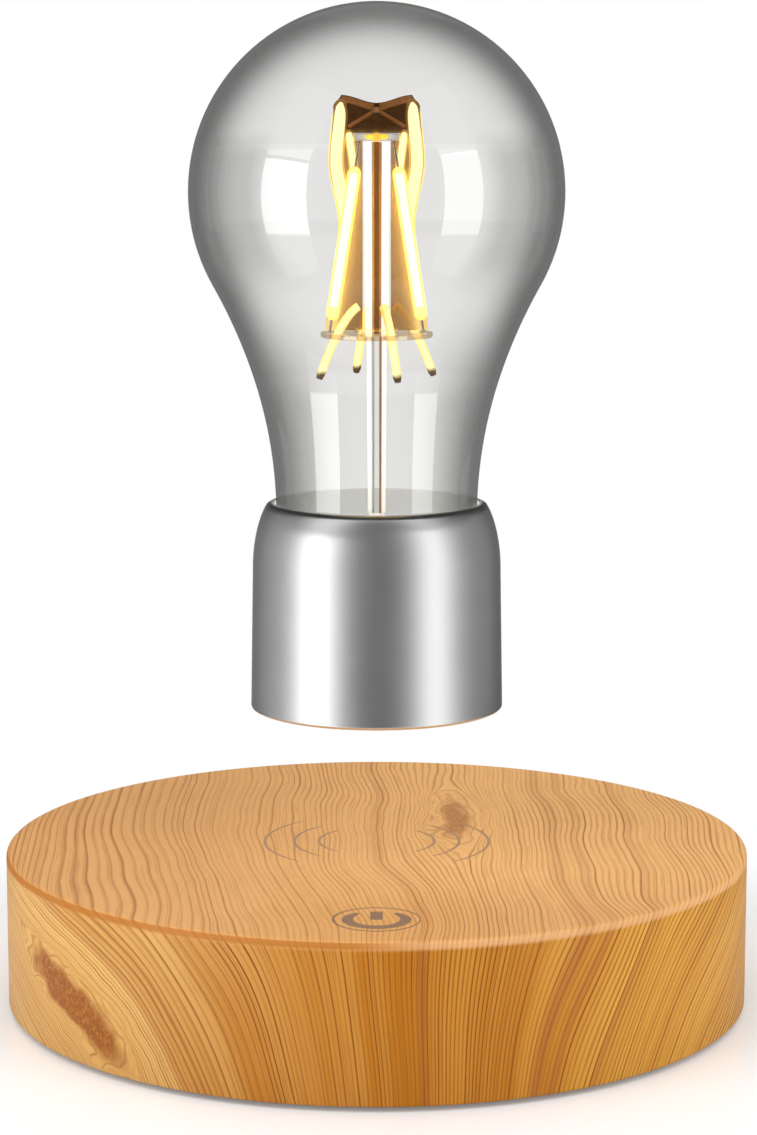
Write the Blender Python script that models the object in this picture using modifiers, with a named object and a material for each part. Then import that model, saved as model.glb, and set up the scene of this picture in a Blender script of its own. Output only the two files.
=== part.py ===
"""Levitating lamp: a wood-look base that holds a clear filament bulb in the air.

The origin is on the table under the middle of the base, +Z is up and the touch sign faces -Y.
The bulb's pieces hang from two empties on the vertical axis: one rises and sinks, and the
other one, under it, turns.
"""

import math

import bmesh
import bpy
from mathutils import Matrix, Vector

# Fits and finish shared by the whole lamp
CLEARANCE = 0.0003  # gap between two pieces that touch
OVERRUN = 0.002  # how far a cutter runs past the face that it cuts
WELD = 0.000002  # points closer than this are one point
FINE_STEPS = 56  # facets round the base
ROUND_STEPS = 32  # facets round the collar and the large rings
SMALL_STEPS = 20  # facets round small turned pieces
TINY_STEPS = 12  # facets round screws and holes
COIL_STEPS = 16  # facets round a levitation coil

# Base housing
BASE_RADIUS = 0.0625
SHELL_HEIGHT = 0.02577  # rim to top
SHELL_WALL = 0.003
SHELL_TOP = 0.002  # thickness of the top plate
SHELL_EDGE = 0.001  # rounding of the top edge
RIM_CHAMFER = 0.0004
COVER_SEAT = 0.0012  # width of the rebate that takes the cover
COVER_THICKNESS = 0.002
COVER_RECESS = 0.0002  # the cover's face lies this far above the rim
BOSS_RADIUS = 0.0035
BOSS_INSET = 0.0055  # boss axis to the housing's inner wall
GUSSET_WIDTH = 0.0016
CORNERS = 4

# Feet and cover screws
FOOT_STAND = 0.0008  # how far the feet hold the rim off the table
FOOT_RADIUS = 0.005
FOOT_SINK = 0.0005  # how far a foot sits in its pocket
FOOT_CHAMFER = 0.0003
FOOT_INSET = 0.0125  # foot axis to the base's edge
SCREW_SHANK = 0.0012  # radius
SCREW_LENGTH = 0.010
SCREW_HEAD = 0.0026  # radius
SCREW_HEAD_HEIGHT = 0.0008
SCREW_SINK = 0.0001  # the head's face lies this far inside the cover's face

# Circuit board and its posts
POST_RADIUS = 0.003
POST_HEIGHT = 0.0027
POST_INSET = 0.010  # post axis to the housing's inner wall
BOARD_THICKNESS = 0.0016
BOARD_GAP = 0.0015  # board edge to the housing's inner wall
NOTCH_GAP = 0.0008  # board notch to boss

# Levitation drive
PARTS_RING = 0.0145  # room for tall parts between the ring magnet and the housing's wall
PARTS_GAP = 0.0008  # tall parts to the ring magnet
MAGNET_BORE_SHARE = 0.6667  # of the ring magnet's outer radius
MAGNET_HEIGHT = 0.010
MAGNET_CHAMFER = 0.0004
COIL_SPACING = 0.001
COIL_FLANGE = 0.0008
WINDING_INSET = 0.0007  # the winding lies this far inside its flanges
CORE_RADIUS = 0.003
CORE_HEAD = 0.0045  # radius
CORE_HEAD_HEIGHT = 0.001
COILS = 4
SENSOR_REACH = 0.0065  # half the diagonal of the sensor carrier
SENSOR_HEIGHT = 0.0055
SENSOR_BODY = 0.0016  # radius of one hall sensor
SENSOR_RISE = 0.0035
SENSOR_OFFSET = 0.0027

# Wireless power and touch switch
TRANSMITTER_INNER = 0.009
TRANSMITTER_OUTER = 0.025
TRANSMITTER_THICKNESS = 0.0015
LOCATING_RIB = 0.001  # thickness of the rib round the transmitter coil
LOCATING_DEPTH = 0.0012
TOUCH_RADIUS = 0.0062
TOUCH_THICKNESS = 0.0004
TOUCH_GAP = 0.00115  # contact spring to ring magnet
SPRING_RADIUS = 0.0033  # to the middle of the wire
SPRING_WIRE = 0.00025  # radius
SPRING_TURNS = 6
SPRING_POINTS = 8  # a turn

# DC jack
JACK_WIDTH = 0.009
JACK_HEIGHT = 0.011
JACK_NOSE = 0.004  # radius
JACK_BORE = 0.0032  # radius
JACK_DEPTH = 0.0095
JACK_PIN = 0.001  # radius
JACK_PIN_SHORT = 0.001  # the pin ends this far inside the mouth
JACK_RECESS = 0.0005  # mouth to the base's side
JACK_EDGE = 0.0004

# Parts on the board, each with its angle round the board
CAPACITOR_RADIUS = 0.004
CAPACITOR_HEIGHT = 0.010
CAPACITOR_CRIMP = 0.0004
CAPACITOR_ANGLES = (66, 114)
INDUCTOR_RADIUS = 0.005
INDUCTOR_HEIGHT = 0.007
INDUCTOR_FLANGE = 0.0012
INDUCTOR_WAIST = 0.001
INDUCTOR_ANGLE = 0
SINK_LENGTH = 0.022
SINK_WIDTH = 0.009
SINK_HEIGHT = 0.009
SINK_FLOOR = 0.002
SINK_FIN = 0.0012
SINK_FINS = 6
SINK_ANGLE = 180
CHIP_LENGTH = 0.006
CHIP_WIDTH = 0.005
CHIP_HEIGHT = 0.0016
CHIP_EDGE = 0.0002
CHIP_ANGLES = (22, 338)

# Collar
HOVER_GAP = 0.0235  # base top to collar
COLLAR_HEIGHT = 0.03465
COLLAR_WALL = 0.0012
COLLAR_LIP = 0.0009  # width of the rolled lip round the glass
COLLAR_LIP_DEPTH = 0.0012
COLLAR_EDGE = 0.0004
COLLAR_TAPER = 0.0004  # the side widens by this towards the bottom
SHOULDER_WIDTH = 0.00275
SHOULDER_SHARE = 0.32  # of the collar's height
SHOULDER_POINTS = 5
SHOULDER_FULLNESS = 0.75  # exponent of the shoulder's curve
CAP_THICKNESS = 0.0015
CAP_RECESS = 0.0003
SEAL_SHARE = 0.35  # of the glass's depth in the collar
SEAL_PLACE_SHARE = 0.05  # of that depth, below the seal

# Lift magnet, power receiver and driver
RECEIVER_INNER = 0.005
RECEIVER_MARGIN = 0.0012  # receiver coil and ferrite to the collar's inner wall
RECEIVER_THICKNESS = 0.0012
FERRITE_THICKNESS = 0.0006
LIFT_RADIUS = 0.015
LIFT_HEIGHT = 0.010
LIFT_CHAMFER = 0.0005
HOLDER_PLATE = 0.0015
HOLDER_HOLE = 0.005
HOLDER_POST = 0.0015  # radius
HOLDER_POST_HEIGHT = 0.002
HOLDER_POST_PLACE = 0.0115  # post to the axis
HOLDER_POSTS = 3
DRIVER_MARGIN = 0.002  # driver board to the collar's inner wall
DRIVER_THICKNESS = 0.0012
DRIVER_ROOM_SHARE = 0.454  # of the collar's height over the driver board, up to the glass
FILTER_RADIUS = 0.003
FILTER_HEIGHT = 0.0045
FILTER_PLACE = 0.007  # capacitor to the axis
CONTROL_SIZE = 0.005
CONTROL_HEIGHT = 0.0014
CONTROL_PLACE = 0.007  # chip to the axis

# Glass
GLASS_RADIUS = 0.0310
GLASS_STAND = 0.0822  # collar top to the glass's crown
GLASS_WALL = 0.0008
NECK_RADIUS = 0.0168
DOME_POINTS = 9
FLARE_POINTS = 5
FLARE_ANGLE = math.radians(29)  # the sphere runs on this far below its equator
FLARE_END_SLOPE = 0.03

# Glass stem and its wires
STEM_WALL_TOP = 0.0013
STEM_WALL_FOOT = 0.00085
STEM_FLARE_HEIGHT = 0.0055
STEM_FLARE_POINTS = 4
STEM_FLARE_WALL = 0.0009
WIRE_RADIUS = 0.00022
WIRE_OFFSET = 0.00045  # wire to the stem's axis

# Filaments and their discs, placed from the middle of the glass sphere
CROWN_RADIUS = 0.0038
CROWN_THICKNESS = 0.0011
CROWN_RISE = 0.0091
DISC_RADIUS = 0.0093
DISC_THICKNESS = 0.0008
DISC_DROP = 0.0233
FILAMENTS = 4
FILAMENT_RADIUS = 0.00105
FILAMENT_LEAD = 0.00025  # radius
FILAMENT_TOP = 0.0033  # upper end to the axis
FILAMENT_FOOT = 0.0089  # lower end to the axis
FILAMENT_ANGLE = 30  # off the lamp's left-right axis
FILAMENT_SHARES = (0.0, 0.06, 0.07, 0.865, 0.875, 1.0)  # lead, strip, lead along the length

# Amber light guide: two crossed plates over the stem, and four splayed feet
GUIDE_PLATE = 0.0008
GUIDE_EAR = 0.0058  # half widths of the plates, from the top down
GUIDE_EAR_SIDE = 0.0071
GUIDE_BULGE = 0.0078
GUIDE_WAIST = 0.0063
GUIDE_SKIRT = 0.0084
GUIDE_RISE = 0.0159  # sphere's middle to the ears
GUIDE_DIP = 0.0013  # ears to the middle of the top edge
GUIDE_EAR_SHARE = 0.955  # of the guide's height, from the support disc
GUIDE_BULGE_SHARE = 0.72
GUIDE_WAIST_SHARE = 0.47
GUIDE_EDGE_POINTS = 3  # between two widths
GUIDE_SLACK = 0.0002
HUB_WALL = 0.0010
HUB_HEIGHT = 0.0042
LEGS = 4
LEG_RADIUS = 0.0007
LEG_REACH = 0.0101  # foot to the axis
LEG_DROP = 0.0067  # support disc to the foot
LEG_ANGLE = 20  # off the lamp's left-right axis
LEG_POINTS = 6
LEG_ROOT_SHARE = 0.02  # a leg leaves the hub this far down
LEG_BOW = 0.6  # exponent of a leg's curve
LEG_HOLE_SLACK = 0.0003  # for the leg's slant through the disc

# Heights in the base, from the table up
rim_z = FOOT_STAND
top_z = rim_z + SHELL_HEIGHT
ceiling_z = top_z - SHELL_TOP
cover_z = rim_z + COVER_RECESS
cover_top_z = cover_z + COVER_THICKNESS
ledge_z = cover_top_z + CLEARANCE
board_z = cover_top_z + POST_HEIGHT + CLEARANCE
board_top_z = board_z + BOARD_THICKNESS
parts_z = board_top_z + CLEARANCE
transmitter_z = ceiling_z - CLEARANCE - TRANSMITTER_THICKNESS
core_top_z = transmitter_z - CLEARANCE
coil_top_z = core_top_z - CORE_HEAD_HEIGHT - CLEARANCE
touch_z = ceiling_z - CLEARANCE - TOUCH_THICKNESS
jack_z = parts_z + JACK_HEIGHT / 2

# Radii in the base
room_radius = BASE_RADIUS - SHELL_WALL
cover_radius = room_radius + COVER_SEAT - CLEARANCE
boss_circle = room_radius - BOSS_INSET
foot_circle = BASE_RADIUS - FOOT_INSET
post_circle = room_radius - POST_INSET
magnet_outer = room_radius - PARTS_RING
magnet_inner = magnet_outer * MAGNET_BORE_SHARE
coil_radius = (magnet_inner - SENSOR_REACH) / 2 - COIL_SPACING
coil_circle = SENSOR_REACH + COIL_SPACING + coil_radius
touch_circle = magnet_outer + TOUCH_GAP + SPRING_WIRE + SPRING_RADIUS

# Heights in the bulb, from the collar's bottom up
bulb_z = top_z + HOVER_GAP
shoulder_height = COLLAR_HEIGHT * SHOULDER_SHARE
receiver_h = CAP_RECESS + CAP_THICKNESS + CLEARANCE
ferrite_h = receiver_h + RECEIVER_THICKNESS + CLEARANCE
lift_h = ferrite_h + FERRITE_THICKNESS + CLEARANCE
holder_h = lift_h + LIFT_HEIGHT + CLEARANCE
holder_top_h = holder_h + HOLDER_PLATE
driver_h = holder_top_h + HOLDER_POST_HEIGHT + CLEARANCE
driver_top_h = driver_h + DRIVER_THICKNESS
glass_foot_h = driver_top_h + (COLLAR_HEIGHT - driver_top_h) * DRIVER_ROOM_SHARE
glass_depth = COLLAR_HEIGHT - glass_foot_h
seal_h = glass_foot_h + glass_depth * SEAL_PLACE_SHARE
seal_top_h = seal_h + glass_depth * SEAL_SHARE
sphere_h = COLLAR_HEIGHT + GLASS_STAND - GLASS_RADIUS
crown_h = sphere_h + CROWN_RISE - CROWN_THICKNESS / 2
disc_h = sphere_h - DISC_DROP - DISC_THICKNESS / 2
disc_top_h = disc_h + DISC_THICKNESS
guide_h = disc_top_h + CLEARANCE
guide_top_h = sphere_h + GUIDE_RISE

# Radii in the bulb
lip_radius = NECK_RADIUS + CLEARANCE
collar_top = lip_radius + COLLAR_LIP
collar_side = collar_top + SHOULDER_WIDTH
collar_foot = collar_side + COLLAR_TAPER
bore_radius = WIRE_OFFSET + WIRE_RADIUS + CLEARANCE
stem_top = bore_radius + STEM_WALL_TOP
stem_foot = bore_radius + STEM_WALL_FOOT
hub_inner = stem_top + CLEARANCE


def empty_scene():
    """Remove what the scene holds, and return the collections for parts and for cutters."""
    for thing in list(bpy.data.objects):
        bpy.data.objects.remove(thing, do_unlink=True)
    collections = []
    for name in ("levitating_lamp", "cutters"):
        collection = bpy.data.collections.new(name)
        bpy.context.scene.collection.children.link(collection)
        collections.append(collection)
    return collections


PARTS, CUTTERS = empty_scene()


def material(name, colour, roughness, metallic=0.0, transmission=0.0):
    """Return a Principled material of one colour."""
    made = bpy.data.materials.new(name)
    made.use_nodes = True
    shader = made.node_tree.nodes["Principled BSDF"]
    shader.inputs["Base Color"].default_value = (*colour, 1.0)
    shader.inputs["Roughness"].default_value = roughness
    shader.inputs["Metallic"].default_value = metallic
    shader.inputs["Transmission Weight"].default_value = transmission
    made.diffuse_color = (*colour, 1.0)
    return made


def add_object(name, data, finish=None, parent=None, guide=False):
    """Link an object: a part with its finish, or a guide that only shapes other parts."""
    made = bpy.data.objects.new(name, data)
    (CUTTERS if guide else PARTS).objects.link(made)
    made.parent = parent
    if guide:
        made.hide_render = True
        made.display_type = "WIRE"
    if finish:
        data.materials.append(finish)
    return made


def add_axis(name, height, parent=None):
    """Add an empty on the lamp's vertical axis, for what moves along or about it."""
    axis = bpy.data.objects.new(name, None)
    PARTS.objects.link(axis)
    axis.parent = parent
    axis.location.z = height
    return axis


def turned(name, profile, steps, finish=None, parent=None, closed=False, guide=False):
    """Turn a profile of (radius, height) points, listed top to bottom on its outer side."""
    mesh = bpy.data.meshes.new(name)
    edges = [(index, index + 1) for index in range(len(profile) - 1)]
    if closed:
        edges.append((len(profile) - 1, 0))
    mesh.from_pydata([(radius, 0, height) for radius, height in profile], edges, [])
    made = add_object(name, mesh, finish, parent, guide)
    screw = made.modifiers.new("turn", "SCREW")
    screw.steps = steps
    screw.render_steps = steps
    screw.use_merge_vertices = True
    screw.merge_threshold = WELD
    screw.use_smooth_shade = True
    return made


def box(name, size, centre, finish=None, parent=None, edge=0, guide=False):
    """Add a box of the given size, its edges rounded where edge isn't zero."""
    shape = bmesh.new()
    bmesh.ops.create_cube(shape, size=1)
    bmesh.ops.scale(shape, vec=size, verts=shape.verts)
    mesh = bpy.data.meshes.new(name)
    shape.to_mesh(mesh)
    shape.free()
    made = add_object(name, mesh, finish, parent, guide)
    made.location = centre
    if edge:
        bevel = made.modifiers.new("edges", "BEVEL")
        bevel.width = edge
        bevel.segments = 1
    return made


def rod(name, radius, foot, length, steps=TINY_STEPS, turn=None, parent=None):
    """Add a cylinder as a guide, from its foot along +Z, or along another axis with turn."""
    shape = bmesh.new()
    bmesh.ops.create_cone(
        shape, cap_ends=True, segments=steps, radius1=radius, radius2=radius, depth=length
    )
    bmesh.ops.translate(shape, vec=(0, 0, length / 2), verts=shape.verts)
    mesh = bpy.data.meshes.new(name)
    shape.to_mesh(mesh)
    shape.free()
    made = add_object(name, mesh, parent=parent, guide=True)
    made.location = foot
    if turn:
        made.rotation_euler = turn
    return made


def combine(target, others, operation):
    """Join guides to a part or cut them out of it, with one Boolean for each."""
    for other in others:
        change = target.modifiers.new(other.name, "BOOLEAN")
        change.operation = operation
        change.solver = "EXACT"
        change.object = other


def plate(name, outline, thickness):
    """Return a guide: a flat outline of (x, height) points that stands in the XZ plane."""
    curve = bpy.data.curves.new(name, "CURVE")
    curve.dimensions = "2D"
    curve.fill_mode = "BOTH"
    curve.extrude = thickness / 2
    spline = curve.splines.new("POLY")
    spline.points.add(len(outline) - 1)
    for point, (x, height) in zip(spline.points, outline):
        point.co = (x, height, 0, 1)
    spline.use_cyclic_u = True
    upright = Matrix.Rotation(math.radians(90), 4, "X")
    return mesh_of_curve(name, curve, upright)


def wire(name, points, radius, radii=None, resolution=2):
    """Return a guide: a round rod through the points, with its own radius at each if given."""
    curve = bpy.data.curves.new(name, "CURVE")
    curve.dimensions = "3D"
    curve.bevel_depth = radius
    curve.bevel_resolution = resolution
    curve.use_fill_caps = True
    spline = curve.splines.new("POLY")
    spline.points.add(len(points) - 1)
    for index, point in enumerate(spline.points):
        point.co = (*points[index], 1)
        if radii:
            point.radius = radii[index] / radius
    return mesh_of_curve(name, curve, Matrix.Identity(4))


def mesh_of_curve(name, curve, placed):
    """Make a mesh of a curve, weld its caps and place its points."""
    source = bpy.data.objects.new(name, curve)
    PARTS.objects.link(source)
    bpy.context.view_layer.update()
    evaluated = source.evaluated_get(bpy.context.evaluated_depsgraph_get())
    mesh = bpy.data.meshes.new_from_object(evaluated)
    bpy.data.objects.remove(source, do_unlink=True)
    shape = bmesh.new()
    shape.from_mesh(mesh)
    bmesh.ops.remove_doubles(shape, verts=shape.verts, dist=WELD)
    bmesh.ops.transform(shape, matrix=placed, verts=shape.verts)
    bmesh.ops.recalc_face_normals(shape, faces=shape.faces)
    shape.to_mesh(mesh)
    shape.free()
    mesh.name = name
    return mesh


def around(angle, radius, height=0):
    """Return the place at an angle in degrees and a radius round the vertical axis."""
    turn = math.radians(angle)
    return Vector((math.cos(turn) * radius, math.sin(turn) * radius, height))


def corner_angles():
    """Return the angles of the screws; the feet stand between them."""
    return [45 + 360 * index / CORNERS for index in range(CORNERS)]


def side_angles():
    """Return the angles of the feet and of the cover's posts."""
    return [360 * index / CORNERS for index in range(CORNERS)]


def ring_profile(inner, outer, bottom, top, chamfer=0):
    """Return a ring's closed profile, its corners chamfered where chamfer isn't zero."""
    if not chamfer:
        return [(outer, top), (outer, bottom), (inner, bottom), (inner, top)]
    return [
        (outer - chamfer, top),
        (outer, top - chamfer),
        (outer, bottom + chamfer),
        (outer - chamfer, bottom),
        (inner + chamfer, bottom),
        (inner, bottom + chamfer),
        (inner, top - chamfer),
        (inner + chamfer, top),
    ]


def disc_profile(radius, bottom, top, chamfer=0):
    """Return a disc's profile, from the axis out, down its edge and back to the axis."""
    if not chamfer:
        return [(0, top), (radius, top), (radius, bottom), (0, bottom)]
    return [
        (0, top),
        (radius - chamfer, top),
        (radius, top - chamfer),
        (radius, bottom + chamfer),
        (radius - chamfer, bottom),
        (0, bottom),
    ]


# Materials, with the photograph's colours where the piece shows
WOOD = material("wood_print", (0.66, 0.37, 0.14), 0.35)
COVER = material("black_cover", (0.03, 0.03, 0.03), 0.55)
RUBBER = material("foot_rubber", (0.05, 0.05, 0.05), 0.85)
STEEL = material("screw_steel", (0.55, 0.55, 0.56), 0.3, 1.0)
BOARD = material("circuit_board", (0.02, 0.16, 0.07), 0.45)
FERRITE = material("ferrite", (0.08, 0.08, 0.085), 0.6)
COPPER = material("copper_winding", (0.6, 0.25, 0.1), 0.35, 0.8)
BLACK = material("black_plastic", (0.025, 0.025, 0.028), 0.4)
ALUMINIUM = material("aluminium", (0.6, 0.6, 0.61), 0.35, 1.0)
SLEEVE = material("capacitor_sleeve", (0.03, 0.05, 0.12), 0.3)
SILVER = material("silver_paint", (0.42, 0.42, 0.43), 0.32, 0.8)
NICKEL = material("nickel_magnet", (0.6, 0.59, 0.57), 0.18, 1.0)
HOLDER = material("white_moulding", (0.7, 0.7, 0.68), 0.5)
SILICONE = material("seal_silicone", (0.55, 0.55, 0.55), 0.6)
GLASS = material("clear_glass", (0.95, 0.96, 0.96), 0.02, 0.0, 1.0)
AMBER = material("amber_guide", (0.75, 0.4, 0.08), 0.15, 0.0, 0.7)
PHOSPHOR = material("filament_phosphor", (1.0, 0.82, 0.3), 0.5)


def base_shell():
    """Moulded housing: top plate and side in one, rebated for the cover, with four bosses."""
    corner = [
        (
            BASE_RADIUS - SHELL_EDGE + SHELL_EDGE * math.sin(math.radians(turn)),
            top_z - SHELL_EDGE + SHELL_EDGE * math.cos(math.radians(turn)),
        )
        for turn in (0, 30, 60, 90)
    ]
    rib_inner = TRANSMITTER_OUTER + CLEARANCE
    rib_outer = rib_inner + LOCATING_RIB
    rib_z = ceiling_z - LOCATING_DEPTH
    profile = [(0, top_z)] + corner
    profile += [(BASE_RADIUS, rim_z + RIM_CHAMFER), (BASE_RADIUS - RIM_CHAMFER, rim_z)]
    profile += [(room_radius + COVER_SEAT, rim_z), (room_radius + COVER_SEAT, ledge_z)]
    profile += [(room_radius, ledge_z), (room_radius, ceiling_z)]
    profile += [(rib_outer, ceiling_z), (rib_outer, rib_z)]
    profile += [(rib_inner, rib_z), (rib_inner, ceiling_z), (0, ceiling_z)]
    shell = turned("base_shell", profile, FINE_STEPS, WOOD)
    bosses = []
    pilots = []
    for index, angle in enumerate(corner_angles(), 1):
        height = ceiling_z - ledge_z + SHELL_TOP / 2
        foot = around(angle, boss_circle, ledge_z)
        bosses.append(rod(f"boss_{index}", BOSS_RADIUS, foot, height))
        gusset_size = (BOSS_INSET + SHELL_WALL / 2, GUSSET_WIDTH, height)
        middle = around(angle, boss_circle + gusset_size[0] / 2, ledge_z + height / 2)
        gusset = box(f"gusset_{index}", gusset_size, middle, guide=True)
        gusset.rotation_euler.z = math.radians(angle)
        bosses.append(gusset)
        depth = OVERRUN + SCREW_LENGTH
        below = around(angle, boss_circle, ledge_z - OVERRUN)
        pilots.append(rod(f"pilot_{index}", SCREW_SHANK + CLEARANCE, below, depth))
    nose_hole = rod(
        "jack_opening",
        JACK_NOSE + CLEARANCE,
        (0, BASE_RADIUS + OVERRUN, jack_z),
        SHELL_WALL + 2 * OVERRUN,
        SMALL_STEPS,
        (math.radians(90), 0, 0),
    )
    combine(shell, bosses, "UNION")
    combine(shell, [*pilots, nose_hole], "DIFFERENCE")


def base_cover():
    """Bottom cover with counterbored screw holes, foot pockets and posts for the board."""
    profile = disc_profile(cover_radius, cover_z, cover_top_z, RIM_CHAMFER)
    cover = turned("base_cover", profile, FINE_STEPS, COVER)
    posts = []
    cuts = []
    post_length = POST_HEIGHT + COVER_THICKNESS / 2
    for index, angle in enumerate(side_angles(), 1):
        foot = around(angle, post_circle, cover_top_z - COVER_THICKNESS / 2)
        posts.append(rod(f"board_post_{index}", POST_RADIUS, foot, post_length))
        below = around(angle, foot_circle, cover_z - OVERRUN)
        depth = OVERRUN + FOOT_SINK + CLEARANCE
        pocket = rod(f"foot_pocket_{index}", FOOT_RADIUS + CLEARANCE, below, depth, SMALL_STEPS)
        cuts.append(pocket)
    seat_depth = SCREW_SINK + SCREW_HEAD_HEIGHT + CLEARANCE
    for index, angle in enumerate(corner_angles(), 1):
        below = around(angle, boss_circle, cover_z - OVERRUN)
        through = COVER_THICKNESS + 2 * OVERRUN
        cuts.append(rod(f"screw_hole_{index}", SCREW_SHANK + CLEARANCE, below, through))
        seat = OVERRUN + seat_depth
        cuts.append(rod(f"screw_seat_{index}", SCREW_HEAD + CLEARANCE, below, seat))
    combine(cover, posts, "UNION")
    combine(cover, cuts, "DIFFERENCE")


def feet():
    """Four rubber feet in the cover's pockets."""
    for index, angle in enumerate(side_angles(), 1):
        top = cover_z + FOOT_SINK
        foot = turned(
            f"rubber_foot_{index}",
            disc_profile(FOOT_RADIUS, 0, top, FOOT_CHAMFER),
            SMALL_STEPS,
            RUBBER,
        )
        foot.location = around(angle, foot_circle)


def cover_screws():
    """Four screws through the cover into the bosses."""
    face = cover_z + SCREW_SINK
    seat = face + SCREW_HEAD_HEIGHT
    tip = ledge_z + SCREW_LENGTH - SCREW_SHANK
    profile = [
        (0, tip),
        (SCREW_SHANK, tip - SCREW_SHANK),
        (SCREW_SHANK, seat),
        (SCREW_HEAD, seat),
        (SCREW_HEAD, face),
        (0, face),
    ]
    for index, angle in enumerate(corner_angles(), 1):
        screw = turned(f"cover_screw_{index}", profile, TINY_STEPS, STEEL)
        screw.location = around(angle, boss_circle)


def main_board():
    """Round circuit board, notched round the bosses."""
    radius = room_radius - BOARD_GAP
    board = turned("main_board", disc_profile(radius, board_z, board_top_z), ROUND_STEPS, BOARD)
    notches = []
    for index, angle in enumerate(corner_angles(), 1):
        below = around(angle, boss_circle, board_z - OVERRUN)
        length = BOARD_THICKNESS + 2 * OVERRUN
        notches.append(rod(f"notch_{index}", BOSS_RADIUS + NOTCH_GAP, below, length))
        mouth_size = (BOSS_INSET, 2 * (BOSS_RADIUS + NOTCH_GAP), length)
        middle = around(angle, boss_circle + BOSS_INSET / 2, board_z - OVERRUN + length / 2)
        mouth = box(f"notch_mouth_{index}", mouth_size, middle, guide=True)
        mouth.rotation_euler.z = math.radians(angle)
        notches.append(mouth)
    combine(board, notches, "DIFFERENCE")


def ring_magnet():
    """Ferrite ring that carries the bulb's weight."""
    top = parts_z + MAGNET_HEIGHT
    profile = ring_profile(magnet_inner, magnet_outer, parts_z, top, MAGNET_CHAMFER)
    turned("ring_magnet", profile, ROUND_STEPS, FERRITE, closed=True)


def levitation_coils():
    """Four wound spools inside the ring, each on a headed steel core."""
    inner = CORE_RADIUS + CLEARANCE
    wound = coil_radius - WINDING_INSET
    spool = [
        (coil_radius, coil_top_z),
        (coil_radius, coil_top_z - COIL_FLANGE),
        (wound, coil_top_z - COIL_FLANGE),
        (wound, parts_z + COIL_FLANGE),
        (coil_radius, parts_z + COIL_FLANGE),
        (coil_radius, parts_z),
        (inner, parts_z),
        (inner, coil_top_z),
    ]
    head_z = core_top_z - CORE_HEAD_HEIGHT
    core = [(0, core_top_z), (CORE_HEAD, core_top_z), (CORE_HEAD, head_z)]
    core += [(CORE_RADIUS, head_z), (CORE_RADIUS, parts_z), (0, parts_z)]
    for index in range(COILS):
        place = around(360 * index / COILS, coil_circle)
        coil = turned(f"levitation_coil_{index + 1}", spool, COIL_STEPS, COPPER, closed=True)
        coil.location = place
        pin = turned(f"coil_core_{index + 1}", core, TINY_STEPS, STEEL)
        pin.location = place


def sensor_block():
    """Carrier in the middle of the coils, with one hall sensor for each direction."""
    side = SENSOR_REACH * math.sqrt(2)
    carrier = box(
        "hall_sensor_block",
        (side, side, SENSOR_HEIGHT),
        (0, 0, parts_z + SENSOR_HEIGHT / 2),
        BLACK,
        edge=CHIP_EDGE,
    )
    foot_z = parts_z + SENSOR_HEIGHT / 2
    length = SENSOR_HEIGHT / 2 + SENSOR_RISE
    places = ((-SENSOR_OFFSET, 0), (SENSOR_OFFSET, SENSOR_OFFSET), (SENSOR_OFFSET, -SENSOR_OFFSET))
    sensors = [
        rod(f"hall_sensor_{index}", SENSOR_BODY, (x, y, foot_z), length)
        for index, (x, y) in enumerate(places, 1)
    ]
    combine(carrier, sensors, "UNION")


def transmitter_coil():
    """Flat wireless power coil under the top plate, inside its locating rib."""
    top = transmitter_z + TRANSMITTER_THICKNESS
    profile = ring_profile(TRANSMITTER_INNER, TRANSMITTER_OUTER, transmitter_z, top)
    turned("transmitter_coil", profile, ROUND_STEPS, COPPER, closed=True)


def touch_switch():
    """Electrode under the touch sign, and the contact spring up to it from the board."""
    place = Vector((0, -touch_circle, 0))
    profile = disc_profile(TOUCH_RADIUS, touch_z, touch_z + TOUCH_THICKNESS)
    turned("touch_electrode", profile, SMALL_STEPS, COPPER).location = place
    low = parts_z + SPRING_WIRE
    high = touch_z - CLEARANCE - SPRING_WIRE
    count = SPRING_TURNS * SPRING_POINTS
    points = [
        around(360 * index / SPRING_POINTS, SPRING_RADIUS, low + (high - low) * index / count)
        for index in range(count + 1)
    ]
    coil = wire("touch_spring", points, SPRING_WIRE, resolution=1)
    add_object("touch_spring", coil, STEEL).location = place


def dc_jack():
    """Low-voltage inlet: a block on the board whose nose fills the hole in the side."""
    shoulder = math.sqrt(room_radius**2 - (JACK_WIDTH / 2) ** 2) - CLEARANCE
    mouth = BASE_RADIUS - JACK_RECESS
    back = magnet_outer + PARTS_GAP
    block = box(
        "dc_jack",
        (JACK_WIDTH, shoulder - back, JACK_HEIGHT),
        (0, (shoulder + back) / 2, jack_z),
        BLACK,
        edge=JACK_EDGE,
    )
    towards_back = (math.radians(90), 0, 0)
    nose_length = mouth - shoulder + JACK_EDGE * 2
    nose = rod("jack_nose", JACK_NOSE, (0, mouth, jack_z), nose_length, SMALL_STEPS, towards_back)
    start = (0, mouth + OVERRUN, jack_z)
    bore = rod(
        "jack_bore", JACK_BORE, start, JACK_DEPTH + OVERRUN, SMALL_STEPS, towards_back
    )
    tip = (0, mouth - JACK_PIN_SHORT, jack_z)
    pin = rod("jack_pin", JACK_PIN, tip, JACK_DEPTH, TINY_STEPS, towards_back)
    combine(block, [nose], "UNION")
    combine(block, [bore], "DIFFERENCE")
    combine(block, [pin], "UNION")


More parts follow.
